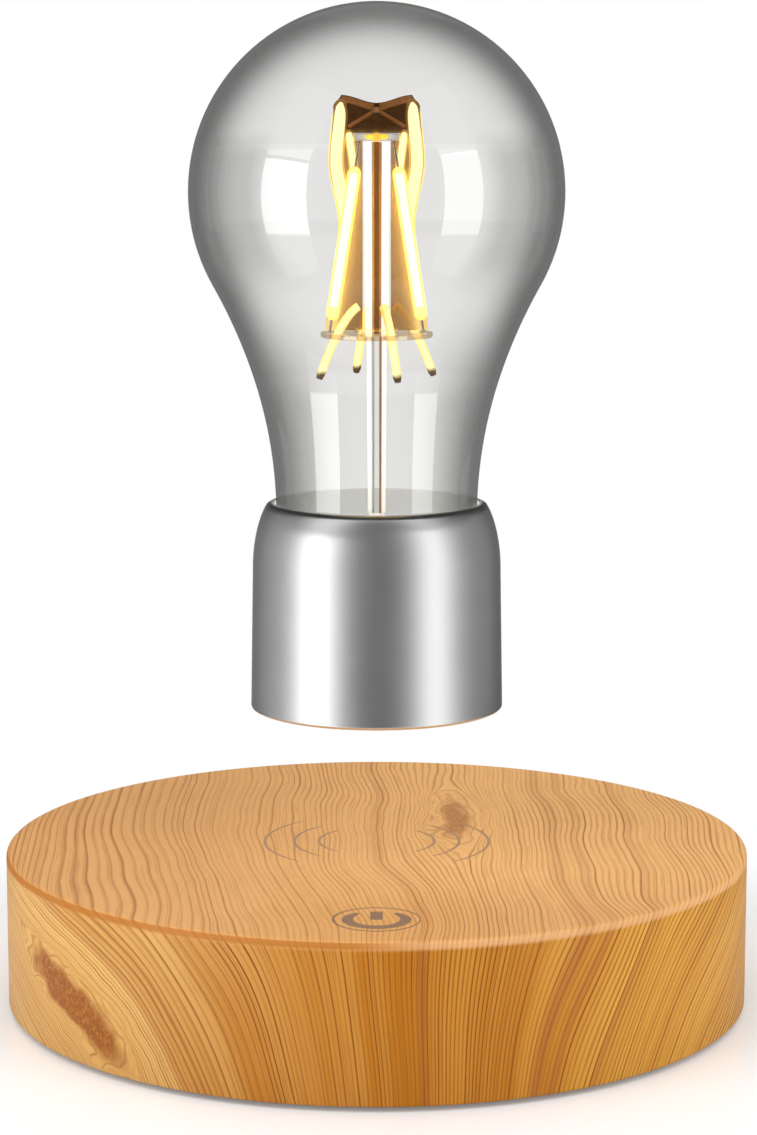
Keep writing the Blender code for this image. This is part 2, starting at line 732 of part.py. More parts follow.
def capacitors():
    """Two can capacitors beside the jack, crimped under their tops."""
    top = parts_z + CAPACITOR_HEIGHT
    groove = top - 3 * CAPACITOR_CRIMP
    profile = [
        (0, top),
        (CAPACITOR_RADIUS - CAPACITOR_CRIMP, top),
        (CAPACITOR_RADIUS, top - CAPACITOR_CRIMP),
        (CAPACITOR_RADIUS - CAPACITOR_CRIMP, groove),
        (CAPACITOR_RADIUS, groove - CAPACITOR_CRIMP),
        (CAPACITOR_RADIUS, parts_z),
        (0, parts_z),
    ]
    circle = magnet_outer + PARTS_GAP + CAPACITOR_RADIUS
    for index, angle in enumerate(CAPACITOR_ANGLES, 1):
        can = turned(f"capacitor_{index}", profile, TINY_STEPS, SLEEVE)
        can.location = around(angle, circle)


def power_inductor():
    """Drum-core inductor of the power stage."""
    top = parts_z + INDUCTOR_HEIGHT
    waist = INDUCTOR_RADIUS - INDUCTOR_WAIST
    profile = [
        (0, top),
        (INDUCTOR_RADIUS, top),
        (INDUCTOR_RADIUS, top - INDUCTOR_FLANGE),
        (waist, top - INDUCTOR_FLANGE),
        (waist, parts_z + INDUCTOR_FLANGE),
        (INDUCTOR_RADIUS, parts_z + INDUCTOR_FLANGE),
        (INDUCTOR_RADIUS, parts_z),
        (0, parts_z),
    ]
    circle = magnet_outer + PARTS_GAP + INDUCTOR_RADIUS
    drum = turned("power_inductor", profile, TINY_STEPS, FERRITE)
    drum.location = around(INDUCTOR_ANGLE, circle)


def heat_sink():
    """Extruded comb that cools the coil drivers."""
    pitch = (SINK_LENGTH - SINK_FIN) / (SINK_FINS - 1)
    outline = [(-SINK_LENGTH / 2, 0), (SINK_LENGTH / 2, 0)]
    for index in reversed(range(SINK_FINS)):
        left = -SINK_LENGTH / 2 + pitch * index
        outline += [(left + SINK_FIN, SINK_HEIGHT), (left, SINK_HEIGHT)]
        if index:
            outline += [(left, SINK_FLOOR), (left - pitch + SINK_FIN, SINK_FLOOR)]
    comb = add_object("heat_sink", plate("heat_sink", outline, SINK_WIDTH), ALUMINIUM)
    comb.location = around(SINK_ANGLE, magnet_outer + PARTS_GAP + SINK_WIDTH / 2, parts_z)
    comb.rotation_euler.z = math.radians(SINK_ANGLE + 90)


def driver_chips():
    """Two coil driver chips."""
    circle = magnet_outer + PARTS_GAP + CHIP_WIDTH / 2
    for index, angle in enumerate(CHIP_ANGLES, 1):
        chip = box(
            f"driver_chip_{index}",
            (CHIP_WIDTH, CHIP_LENGTH, CHIP_HEIGHT),
            around(angle, circle, parts_z + CHIP_HEIGHT / 2),
            BLACK,
            edge=CHIP_EDGE,
        )
        chip.rotation_euler.z = math.radians(angle)


def collar_radius(height):
    """Return the collar's outer radius: a slight taper, then a shoulder rolled in to the lip."""
    start = COLLAR_HEIGHT - shoulder_height
    if height <= start:
        return collar_side + COLLAR_TAPER * (1 - height / start)
    along = min(1.0, (height - start) / shoulder_height)
    return collar_top + SHOULDER_WIDTH * (1 - along**2) ** SHOULDER_FULLNESS


def collar_room(height):
    """Return the collar's inner radius."""
    return collar_radius(height) - COLLAR_WALL


def collar_shell(parent):
    """Turned metal sleeve, open below, with its lip round the glass neck."""
    start = COLLAR_HEIGHT - shoulder_height
    last_outer = COLLAR_HEIGHT - COLLAR_EDGE
    last_inner = COLLAR_HEIGHT - COLLAR_LIP_DEPTH
    outer = []
    inner = []
    for index in range(SHOULDER_POINTS + 1):
        share = index / SHOULDER_POINTS
        height = start + (last_outer - start) * share
        outer.append((collar_radius(height), height))
        height = start + (last_inner - start) * share
        inner.append((collar_room(height), height))
    profile = [(lip_radius, COLLAR_HEIGHT), (collar_top - COLLAR_EDGE, COLLAR_HEIGHT)]
    profile += reversed(outer)
    profile += [(collar_foot, COLLAR_EDGE), (collar_foot - COLLAR_EDGE, 0)]
    profile += [(collar_foot - COLLAR_WALL, 0), *inner, (lip_radius, last_inner)]
    turned("collar_shell", profile, ROUND_STEPS, SILVER, parent, closed=True)


def collar_cap(parent):
    """Disc that closes the collar from below."""
    radius = collar_room(CAP_RECESS + CAP_THICKNESS) - CLEARANCE
    profile = disc_profile(radius, CAP_RECESS, CAP_RECESS + CAP_THICKNESS, COLLAR_EDGE)
    turned("collar_cap", profile, ROUND_STEPS, BLACK, parent)


def power_receiver(parent):
    """Flat receiver coil on the cap, with a ferrite disc that shields the magnet."""
    radius = collar_room(lift_h) - RECEIVER_MARGIN
    top = receiver_h + RECEIVER_THICKNESS
    profile = ring_profile(RECEIVER_INNER, radius, receiver_h, top)
    turned("receiver_coil", profile, SMALL_STEPS, COPPER, parent, closed=True)
    profile = disc_profile(radius, ferrite_h, ferrite_h + FERRITE_THICKNESS)
    turned("ferrite_disc", profile, SMALL_STEPS, FERRITE, parent)


def lift_magnet(parent):
    """Magnet that the base holds up: it rises and sinks, and the bulb turns about it."""
    profile = disc_profile(LIFT_RADIUS, lift_h, lift_h + LIFT_HEIGHT, LIFT_CHAMFER)
    turned("lift_magnet", profile, ROUND_STEPS, NICKEL, parent)


def magnet_holder(parent):
    """Moulded cup over the magnet, with three posts for the driver board."""
    outer = collar_room(holder_top_h) - CLEARANCE
    inner = LIFT_RADIUS + CLEARANCE
    profile = [(HOLDER_HOLE, holder_top_h), (outer, holder_top_h), (outer, lift_h)]
    profile += [(inner, lift_h), (inner, holder_h), (HOLDER_HOLE, holder_h)]
    cup = turned("magnet_holder", profile, ROUND_STEPS, HOLDER, parent, closed=True)
    posts = []
    for index in range(HOLDER_POSTS):
        foot = around(360 * index / HOLDER_POSTS, HOLDER_POST_PLACE, holder_h + HOLDER_PLATE / 2)
        length = HOLDER_PLATE / 2 + HOLDER_POST_HEIGHT
        name = f"holder_post_{index + 1}"
        posts.append(rod(name, HOLDER_POST, foot, length, parent=parent))
    combine(cup, posts, "UNION")


def driver_board(parent):
    """Driver board of the filaments, with its filter capacitor and control chip."""
    radius = collar_room(driver_h) - DRIVER_MARGIN
    profile = disc_profile(radius, driver_h, driver_top_h)
    turned("driver_board", profile, SMALL_STEPS, BOARD, parent)
    foot = driver_top_h + CLEARANCE
    top = foot + FILTER_HEIGHT
    profile = [
        (0, top),
        (FILTER_RADIUS - CAPACITOR_CRIMP, top),
        (FILTER_RADIUS, top - CAPACITOR_CRIMP),
        (FILTER_RADIUS, foot),
        (0, foot),
    ]
    can = turned("filter_capacitor", profile, TINY_STEPS, SLEEVE, parent)
    can.location = (0, FILTER_PLACE, 0)
    box(
        "control_chip",
        (CONTROL_SIZE, CONTROL_SIZE, CONTROL_HEIGHT),
        (0, -CONTROL_PLACE, foot + CONTROL_HEIGHT / 2),
        BLACK,
        parent,
        CHIP_EDGE,
    )


def neck_seal(parent):
    """Silicone ring that holds the glass neck in the collar."""
    outer = collar_room(seal_top_h) - CLEARANCE
    profile = ring_profile(lip_radius, outer, seal_h, seal_top_h)
    turned("neck_seal", profile, SMALL_STEPS, SILICONE, parent, closed=True)


def glass_outline():
    """Return the glass's outer outline: a sphere, a flare that straightens, and the neck."""
    points = []
    sweep = math.radians(90) + FLARE_ANGLE
    for index in range(DOME_POINTS + 1):
        turn = sweep * index / DOME_POINTS
        points.append((GLASS_RADIUS * math.sin(turn), sphere_h + GLASS_RADIUS * math.cos(turn)))
    start_radius, start = points[-1]
    fall = start - COLLAR_HEIGHT
    slope_in = -math.tan(FLARE_ANGLE) * fall
    slope_out = -FLARE_END_SLOPE * fall
    for index in range(1, FLARE_POINTS + 1):
        t = index / FLARE_POINTS
        radius = start_radius * (2 * t**3 - 3 * t**2 + 1) + slope_in * (t**3 - 2 * t**2 + t)
        radius += NECK_RADIUS * (3 * t**2 - 2 * t**3) + slope_out * (t**3 - t**2)
        points.append((radius, start - fall * t))
    points.append((NECK_RADIUS, glass_foot_h))
    return points


def glass_bulb(parent):
    """Clear envelope: an open turned surface, given its wall inwards."""
    glass = turned("glass_bulb", glass_outline(), ROUND_STEPS, GLASS, parent)
    wall = glass.modifiers.new("wall", "SOLIDIFY")
    wall.thickness = GLASS_WALL
    wall.offset = -1
    wall.use_even_offset = True


def stem_radius(height):
    """Return the stem tube's outer radius: it narrows towards the flare."""
    foot = glass_foot_h + STEM_FLARE_HEIGHT
    share = (height - foot) / (crown_h - CLEARANCE - foot)
    return stem_foot + (stem_top - stem_foot) * share


def glass_stem(parent):
    """Hollow stem: a tube up to the crown disc, flared below to close the neck."""
    top = crown_h - CLEARANCE
    flare = NECK_RADIUS - GLASS_WALL - CLEARANCE
    upper = []
    lower = []
    for index in range(STEM_FLARE_POINTS + 1):
        share = index / STEM_FLARE_POINTS
        height = glass_foot_h + STEM_FLARE_HEIGHT * (1 - share) ** 2
        upper.append((stem_foot + (flare - stem_foot) * share, height + STEM_FLARE_WALL))
        lower.append((bore_radius + (flare - bore_radius) * share, height))
    profile = [(stem_top, top), *upper, *reversed(lower), (bore_radius, top)]
    turned("glass_stem", profile, SMALL_STEPS, GLASS, parent, closed=True)


def lead_wires(parent):
    """Two wires from the driver board up the stem to the crown disc."""
    low = driver_top_h + CLEARANCE
    high = crown_h - CLEARANCE
    for index, side in enumerate((-1, 1), 1):
        name = f"lead_wire_{index}"
        x = side * WIRE_OFFSET
        mesh = wire(name, [(x, 0, low), (x, 0, high)], WIRE_RADIUS, resolution=1)
        add_object(name, mesh, COPPER, parent)


def filament_discs(parent):
    """Clear crown disc on the stem, and the wider support disc round it."""
    chamfer = CROWN_THICKNESS / 4
    profile = disc_profile(CROWN_RADIUS, crown_h, crown_h + CROWN_THICKNESS, chamfer)
    turned("crown_disc", profile, SMALL_STEPS, GLASS, parent)
    hole = stem_radius(disc_top_h) + CLEARANCE
    profile = ring_profile(hole, DISC_RADIUS, disc_h, disc_top_h)
    disc = turned("support_disc", profile, ROUND_STEPS, GLASS, parent, closed=True)
    holes = []
    for index in range(LEGS):
        middle = leg_place(index, disc_h + DISC_THICKNESS / 2)
        foot = (middle.x, middle.y, disc_h - OVERRUN)
        radius = LEG_RADIUS + CLEARANCE + LEG_HOLE_SLACK
        length = DISC_THICKNESS + 2 * OVERRUN
        holes.append(rod(f"leg_hole_{index + 1}", radius, foot, length, parent=parent))
    combine(disc, holes, "DIFFERENCE")


def filaments(parent):
    """Four filaments with their end leads, leaning in from the support disc to the crown."""
    low = disc_top_h + CLEARANCE
    high = crown_h - CLEARANCE
    radii = [FILAMENT_LEAD, FILAMENT_LEAD, FILAMENT_RADIUS]
    radii += reversed(radii)
    for index in range(FILAMENTS):
        side = 180 * (index // 2)
        lean = FILAMENT_ANGLE if index % 2 else -FILAMENT_ANGLE
        foot = around(side + lean, FILAMENT_FOOT, low)
        head = around(side + lean, FILAMENT_TOP, high)
        points = [foot.lerp(head, share) for share in FILAMENT_SHARES]
        name = f"filament_{index + 1}"
        mesh = wire(name, points, FILAMENT_RADIUS, radii)
        add_object(name, mesh, PHOSPHOR, parent)


def leg_place(index, height):
    """Return the middle of a light guide leg at a height: it bows out as it goes down."""
    start = guide_h + HUB_HEIGHT
    end = disc_h - LEG_DROP
    fall = (start - height) / (start - end)
    radius = hub_inner + (LEG_REACH - hub_inner) * fall**LEG_BOW
    return around(LEG_ANGLE + 360 * index / LEGS, radius, height)


def guide_outline():
    """Return one plate's outline: eared top, bulge, waist and skirt, slotted over the stem."""
    height = guide_top_h - guide_h
    knots = [
        (GUIDE_SKIRT, guide_h),
        (GUIDE_WAIST, guide_h + height * GUIDE_WAIST_SHARE),
        (GUIDE_BULGE, guide_h + height * GUIDE_BULGE_SHARE),
        (GUIDE_EAR_SIDE, guide_h + height * GUIDE_EAR_SHARE),
        (GUIDE_EAR, guide_top_h),
    ]
    edge = [knots[0]]
    for (lower, foot), (upper, head) in zip(knots, knots[1:]):
        for index in range(1, GUIDE_EDGE_POINTS + 1):
            share = index / GUIDE_EDGE_POINTS
            ease = share * share * (3 - 2 * share)
            edge.append((lower + (upper - lower) * ease, foot + (head - foot) * share))
    slot = hub_inner + GUIDE_SLACK
    pocket = CROWN_RADIUS + CLEARANCE
    right = edge + [(GUIDE_EAR / 2, guide_top_h - GUIDE_DIP / 2)]
    left = [(-x, z) for x, z in reversed(right)]
    inside = [
        (-slot, guide_h),
        (-slot, crown_h - CLEARANCE),
        (-pocket, crown_h - CLEARANCE),
        (-pocket, crown_h + CROWN_THICKNESS + CLEARANCE),
    ]
    inside += [(-x, z) for x, z in reversed(inside)]
    return right + [(0, guide_top_h - GUIDE_DIP)] + left + inside


def light_guide(parent):
    """Amber light guide: two crossed plates, a hub round the stem and four splayed legs."""
    outline = guide_outline()
    guide = add_object("light_guide", plate("light_guide", outline, GUIDE_PLATE), AMBER, parent)
    crossing = plate("cross_plate", outline, GUIDE_PLATE)
    cross = add_object("cross_plate", crossing, parent=parent, guide=True)
    cross.rotation_euler.z = math.radians(90)
    hub_profile = ring_profile(hub_inner, hub_inner + HUB_WALL, guide_h, guide_h + HUB_HEIGHT)
    hub = turned("guide_hub", hub_profile, SMALL_STEPS, parent=parent, closed=True, guide=True)
    shaping = [cross, hub]
    start = guide_h + HUB_HEIGHT
    end = disc_h - LEG_DROP
    for leg in range(LEGS):
        points = []
        for index in range(LEG_POINTS + 1):
            share = LEG_ROOT_SHARE + (1 - LEG_ROOT_SHARE) * (index / LEG_POINTS) ** 1.5
            points.append(leg_place(leg, start + (end - start) * share))
        name = f"guide_leg_{leg + 1}"
        leg_mesh = wire(name, points, LEG_RADIUS, resolution=1)
        shaping.append(add_object(name, leg_mesh, parent=parent, guide=True))
    combine(guide, shaping, "UNION")


def build_base():
    """Build everything that stands on the table."""
    base_shell()
    base_cover()
    feet()
    cover_screws()
    main_board()
    ring_magnet()
    levitation_coils()
    sensor_block()
    transmitter_coil()
    touch_switch()
    dc_jack()
    capacitors()
    power_inductor()
    heat_sink()
    driver_chips()


def build_bulb():
    """Build what hovers: the magnet on the lifting axis, and the rest on the turning one."""
    lift_axis = add_axis("lift_axis", bulb_z)
    spin_axis = add_axis("spin_axis", 0, lift_axis)
    lift_magnet(lift_axis)
    collar_shell(spin_axis)
    collar_cap(spin_axis)
    power_receiver(spin_axis)
    magnet_holder(spin_axis)
    driver_board(spin_axis)
    neck_seal(spin_axis)
    glass_bulb(spin_axis)
    glass_stem(spin_axis)
    lead_wires(spin_axis)
    filament_discs(spin_axis)
    filaments(spin_axis)
    light_guide(spin_axis)


build_base()
build_bulb()
bpy.context.view_layer.update()
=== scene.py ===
"""Looks of the levitating lamp: finishes, fine pieces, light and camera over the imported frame."""

import logging
import math
from collections.abc import Sequence
from dataclasses import dataclass
from enum import Enum

import bmesh
import bpy
from mathutils import Matrix, Vector


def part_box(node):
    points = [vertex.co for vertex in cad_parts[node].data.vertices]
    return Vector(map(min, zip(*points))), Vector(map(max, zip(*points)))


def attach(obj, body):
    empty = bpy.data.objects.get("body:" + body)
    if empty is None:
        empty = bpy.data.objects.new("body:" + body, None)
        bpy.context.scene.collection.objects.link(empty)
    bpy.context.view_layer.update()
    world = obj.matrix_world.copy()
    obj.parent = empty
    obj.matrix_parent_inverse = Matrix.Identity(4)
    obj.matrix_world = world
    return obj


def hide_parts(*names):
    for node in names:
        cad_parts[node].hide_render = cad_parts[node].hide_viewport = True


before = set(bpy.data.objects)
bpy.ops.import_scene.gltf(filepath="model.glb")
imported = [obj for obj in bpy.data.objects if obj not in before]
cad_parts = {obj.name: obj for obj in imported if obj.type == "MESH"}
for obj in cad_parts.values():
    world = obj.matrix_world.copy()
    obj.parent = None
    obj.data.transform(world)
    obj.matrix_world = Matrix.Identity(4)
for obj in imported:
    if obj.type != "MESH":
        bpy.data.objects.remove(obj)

Colour = tuple[float, float, float]
Pair = tuple[float, float]
Profile = list[Pair]
Zone = tuple[float, float, float, float]  # where something starts, is full, falls and ends
Socket = bpy.types.NodeSocket

LOG = logging.getLogger("levitating_lamp")
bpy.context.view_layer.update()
MM = 1000.0  # millimetres in a metre
OVER = 0.001  # how far a cutter reaches past what it cuts
TINY = 1e-7  # points closer than this are one
SHARP = 32.0  # degrees from which an edge stays sharp
CAP_ANGLES = (12, 35, 60, 90)  # of the rings that round a rod's end, in degrees


class Body(Enum):
    """The bodies of the frame that pieces ride on."""

    BASE = "base"
    BULB = "bulb"


# Node graphs of materials and of the world


class Wire:
    """An output of a node graph that adds and multiplies like a number."""

    def __init__(self, graph: "Graph", socket: Socket) -> None:
        """Wrap an output.

        Args:
            graph: The graph that the output belongs to.
            socket: The output itself.
        """
        self.graph = graph
        self.socket = socket

    def __add__(self, other: "Term") -> "Wire":
        """Return self + other."""
        return self.graph.math("ADD", self, other)

    __radd__ = __add__

    def __mul__(self, other: "Term") -> "Wire":
        """Return self * other."""
        return self.graph.math("MULTIPLY", self, other)

    __rmul__ = __mul__

    def __sub__(self, other: "Term") -> "Wire":
        """Return self - other."""
        return self.graph.math("SUBTRACT", self, other)

    def __rsub__(self, other: "Term") -> "Wire":
        """Return other - self."""
        return self.graph.math("SUBTRACT", other, self)

    def __truediv__(self, other: "Term") -> "Wire":
        """Return self / other."""
        return self.graph.math("DIVIDE", self, other)

    def __pow__(self, other: "Term") -> "Wire":
        """Return self to the power of other."""
        return self.graph.math("POWER", self, other)

    def __abs__(self) -> "Wire":
        """Return self without its sign."""
        return self.graph.math("ABSOLUTE", self)


Term = Wire | float


class Graph:
    """A shader node tree that is written as sums of named quantities."""

    def __init__(self, tree: bpy.types.NodeTree) -> None:
        """Empty the tree, so that only what is added here counts.

        Args:
            tree: The node tree of a material or a world.
        """
        self.tree = tree
        self.spot: tuple[Wire, Wire, Wire] | None = None
        tree.nodes.clear()

    def node(self, kind: str, sockets: dict, **settings: object) -> bpy.types.Node:
        """Add a node.

        Args:
            kind: The node's type name.
            sockets: Its inputs by name or number, each a Wire or a constant.
            **settings: The node's own properties.

        Returns:
            The node.
        """
        made = self.tree.nodes.new(kind)
        for name, value in settings.items():
            setattr(made, name, value)
        for name, value in sockets.items():
            self.feed(made.inputs[name], value)
        return made

    def feed(self, socket: Socket, value: object) -> None:
        """Link a Wire to a socket, or set a constant on it."""
        if isinstance(value, Wire):
            self.tree.links.new(value.socket, socket)
        elif isinstance(value, bpy.types.Node):
            self.tree.links.new(value.outputs[0], socket)
        elif isinstance(value, tuple) and socket.type == "RGBA":
            socket.default_value = (*value, 1.0)
        else:
            socket.default_value = value

    def wire(self, made: bpy.types.Node, output: int | str = 0) -> Wire:
        """Return one of a node's outputs."""
        return Wire(self, made.outputs[output])

    def math(self, operation: str, *terms: Term) -> Wire:
        """Return the result of one arithmetic step."""
        sockets = dict(enumerate(terms))
        return self.wire(self.node("ShaderNodeMath", sockets, operation=operation))

    def vector(self, x: Term, y: Term, z: Term) -> Wire:
        """Return a vector of three terms."""
        return self.wire(self.node("ShaderNodeCombineXYZ", {0: x, 1: y, 2: z}))

    def place(self) -> tuple[Wire, Wire, Wire]:
        """Return the point on the object in millimetres, as x, y and z."""
        if self.spot is None:
            coordinates = self.node("ShaderNodeTexCoord", {})
            sockets = {0: self.wire(coordinates, "Object"), "Scale": MM}
            scaled = self.node("ShaderNodeVectorMath", sockets, operation="SCALE")
            split = self.node("ShaderNodeSeparateXYZ", {0: scaled})
            self.spot = (self.wire(split, 0), self.wire(split, 1), self.wire(split, 2))
        return self.spot

    def radius(self) -> Wire:
        """Return the distance from the object's vertical axis in millimetres."""
        x, y, _ = self.place()
        return self.math("SQRT", x * x + y * y)

    def noise(self, point: Wire, detail: float = 2.0, roughness: float = 0.5) -> Wire:
        """Return smooth noise from 0 to 1, one cell for each unit of the point."""
        sockets = {"Vector": point, "Scale": 1.0, "Detail": detail, "Roughness": roughness}
        return self.wire(self.node("ShaderNodeTexNoise", sockets), 0)

    def cloud(
        self, cells: float | tuple[float, float, float], detail: float = 2.0, roughness: float = 0.5
    ) -> Wire:
        """Return smooth noise over the object, with so many cells for each millimetre."""
        scales = cells if isinstance(cells, tuple) else (cells, cells, cells)
        parts = [part * scale for part, scale in zip(self.place(), scales, strict=True)]
        return self.noise(self.vector(*parts), detail, roughness)

    def noise_along(self, along: Wire, detail: float = 1.0) -> Wire:
        """Return smooth noise from 0 to 1 along one quantity."""
        sockets = {"W": along, "Scale": 1.0, "Detail": detail}
        return self.wire(self.node("ShaderNodeTexNoise", sockets, noise_dimensions="1D"), 0)

    def chance(self, along: Wire) -> Wire:
        """Return one random number for each value of a quantity."""
        dice = self.node("ShaderNodeTexWhiteNoise", {"W": along}, noise_dimensions="1D")
        return self.wire(dice, 0)

    def ramp(self, value: Term, low: float, high: float, kind: str = "LINEAR") -> Wire:
        """Return a rise from 0 at low to 1 at high, straight if no other kind is named."""
        sockets = {0: value, 1: low, 2: high, 3: 0.0, 4: 1.0}
        return self.wire(self.node("ShaderNodeMapRange", sockets, interpolation_type=kind))

    def rise(self, value: Term, low: float, high: float) -> Wire:
        """Return a smooth step from 0 at low to 1 at high."""
        return self.ramp(value, low, high, "SMOOTHSTEP")

    def between(self, value: Term, start: float, full: float, fall: float, end: float) -> Wire:
        """Return 1 between full and fall, and less on both sides down to 0 at start and end."""
        return self.rise(value, start, full) * self.rise(value, end, fall)

    def marked(self, name: str) -> Wire:
        """Return a number that is stored on the mesh's points."""
        return self.wire(self.node("ShaderNodeAttribute", {}, attribute_name=name), "Fac")

    def blend(self, share: Term, first: object, second: object, mode: str = "MIX") -> Wire:
        """Return a colour between two colours.

        Args:
            share: 0 for the first colour, 1 for the second.
            first: A colour or a Wire.
            second: A colour or a Wire.
            mode: How they blend.

        Returns:
            The blended colour.
        """
        sockets = {0: share, 6: first, 7: second}
        made = self.node("ShaderNodeMix", sockets, data_type="RGBA", blend_type=mode)
        return self.wire(made, 2)

    def bump(self, height: Wire, distance: float, strength: float = 1.0) -> Wire:
        """Return a normal bent by a height from 0 to 1 over a distance in metres."""
        sockets = {"Height": height, "Distance": distance, "Strength": strength}
        return self.wire(self.node("ShaderNodeBump", sockets))

    def round_the_axis(self) -> Wire:
        """Return the direction round the object's vertical axis, for a brushed look."""
        x, y, _ = self.place()
        sockets = {"Vector": self.vector(y * -1.0, x, 0.0)}
        settings = {"vector_type": "VECTOR", "convert_from": "OBJECT", "convert_to": "WORLD"}
        return self.wire(self.node("ShaderNodeVectorTransform", sockets, **settings))

    def facing(self) -> Wire:
        """Return 0 where the surface is seen head on and 1 where it is seen edge on."""
        return self.wire(self.node("ShaderNodeLayerWeight", {"Blend": 0.5}), "Facing")

    def outward(self) -> Wire:
        """Return 1 where a surface is met from outside and 0 where it is met from within."""
        return 1.0 - self.wire(self.node("ShaderNodeNewGeometry", {}), "Backfacing")

    def principled(self, **sockets: object) -> Wire:
        """Return a Principled shader; an input's name has _ for its spaces."""
        named = {name.replace("_", " "): value for name, value in sockets.items()}
        return self.wire(self.node("ShaderNodeBsdfPrincipled", named))

    def lit(self, colour: object, roughness: Term, strength: Term, **more: object) -> Wire:
        """Return a Principled shader of a colour that also shines in that colour."""
        both = {"Base_Color": colour, "Emission_Color": colour, "Emission_Strength": strength}
        return self.principled(Roughness=roughness, **both, **more)

    def mixed(self, share: Term, first: Wire, second: Wire) -> Wire:
        """Return a mix of two shaders, 0 for the first and 1 for the second."""
        return self.wire(self.node("ShaderNodeMixShader", {0: share, 1: first, 2: second}))

    def clear(self, tint: object) -> Wire:
        """Return a shader that lets the view through with a tint."""
        return self.wire(self.node("ShaderNodeBsdfTransparent", {"Color": tint}))

    def output(self, surface: Wire, kind: str = "ShaderNodeOutputMaterial") -> None:
        """End the graph with what the surface shows."""
        self.node(kind, {"Surface": surface})


# Finishes


@dataclass(frozen=True)
class Finish:
    """A named look, made once and shared by the pieces that carry it."""

    name: str
    slot: str | None = None

    def surface(self, graph: Graph) -> Wire:
        """Return the shader of this finish; each kind of finish has its own."""
        raise NotImplementedError(self.name)

    def material(self) -> bpy.types.Material:
        """Return the finish's material, made on first use."""
        label = f"finish_{self.name}"
        known = bpy.data.materials.get(label)
        if known:
            return known
        made = bpy.data.materials.new(label)
        made.use_nodes = True
        graph = Graph(made.node_tree)
        graph.output(self.surface(graph))
        return made


@dataclass(frozen=True)
class Knot:
    """A branch knot: place across the grain, y and z, half sizes, and how far lines bend."""

    centre: tuple[float, float, float]
    reach: tuple[float, float, float]
    redness: float = 1.0
    flow: float = 1.7


@dataclass(frozen=True)
class Streak:
    """A reddish streak along the grain: its place across the grain, in millimetres."""

    across: float
    half: float
    weight: float


@dataclass(frozen=True)
class Wave:
    """A noise that bends the grain: cells for each mm, where it starts, and its reach in mm."""

    cells: tuple[float, float, float]
    start: tuple[float, float, float]
    detail: float
    reach: float
    calmed: bool = True  # weaker on the left


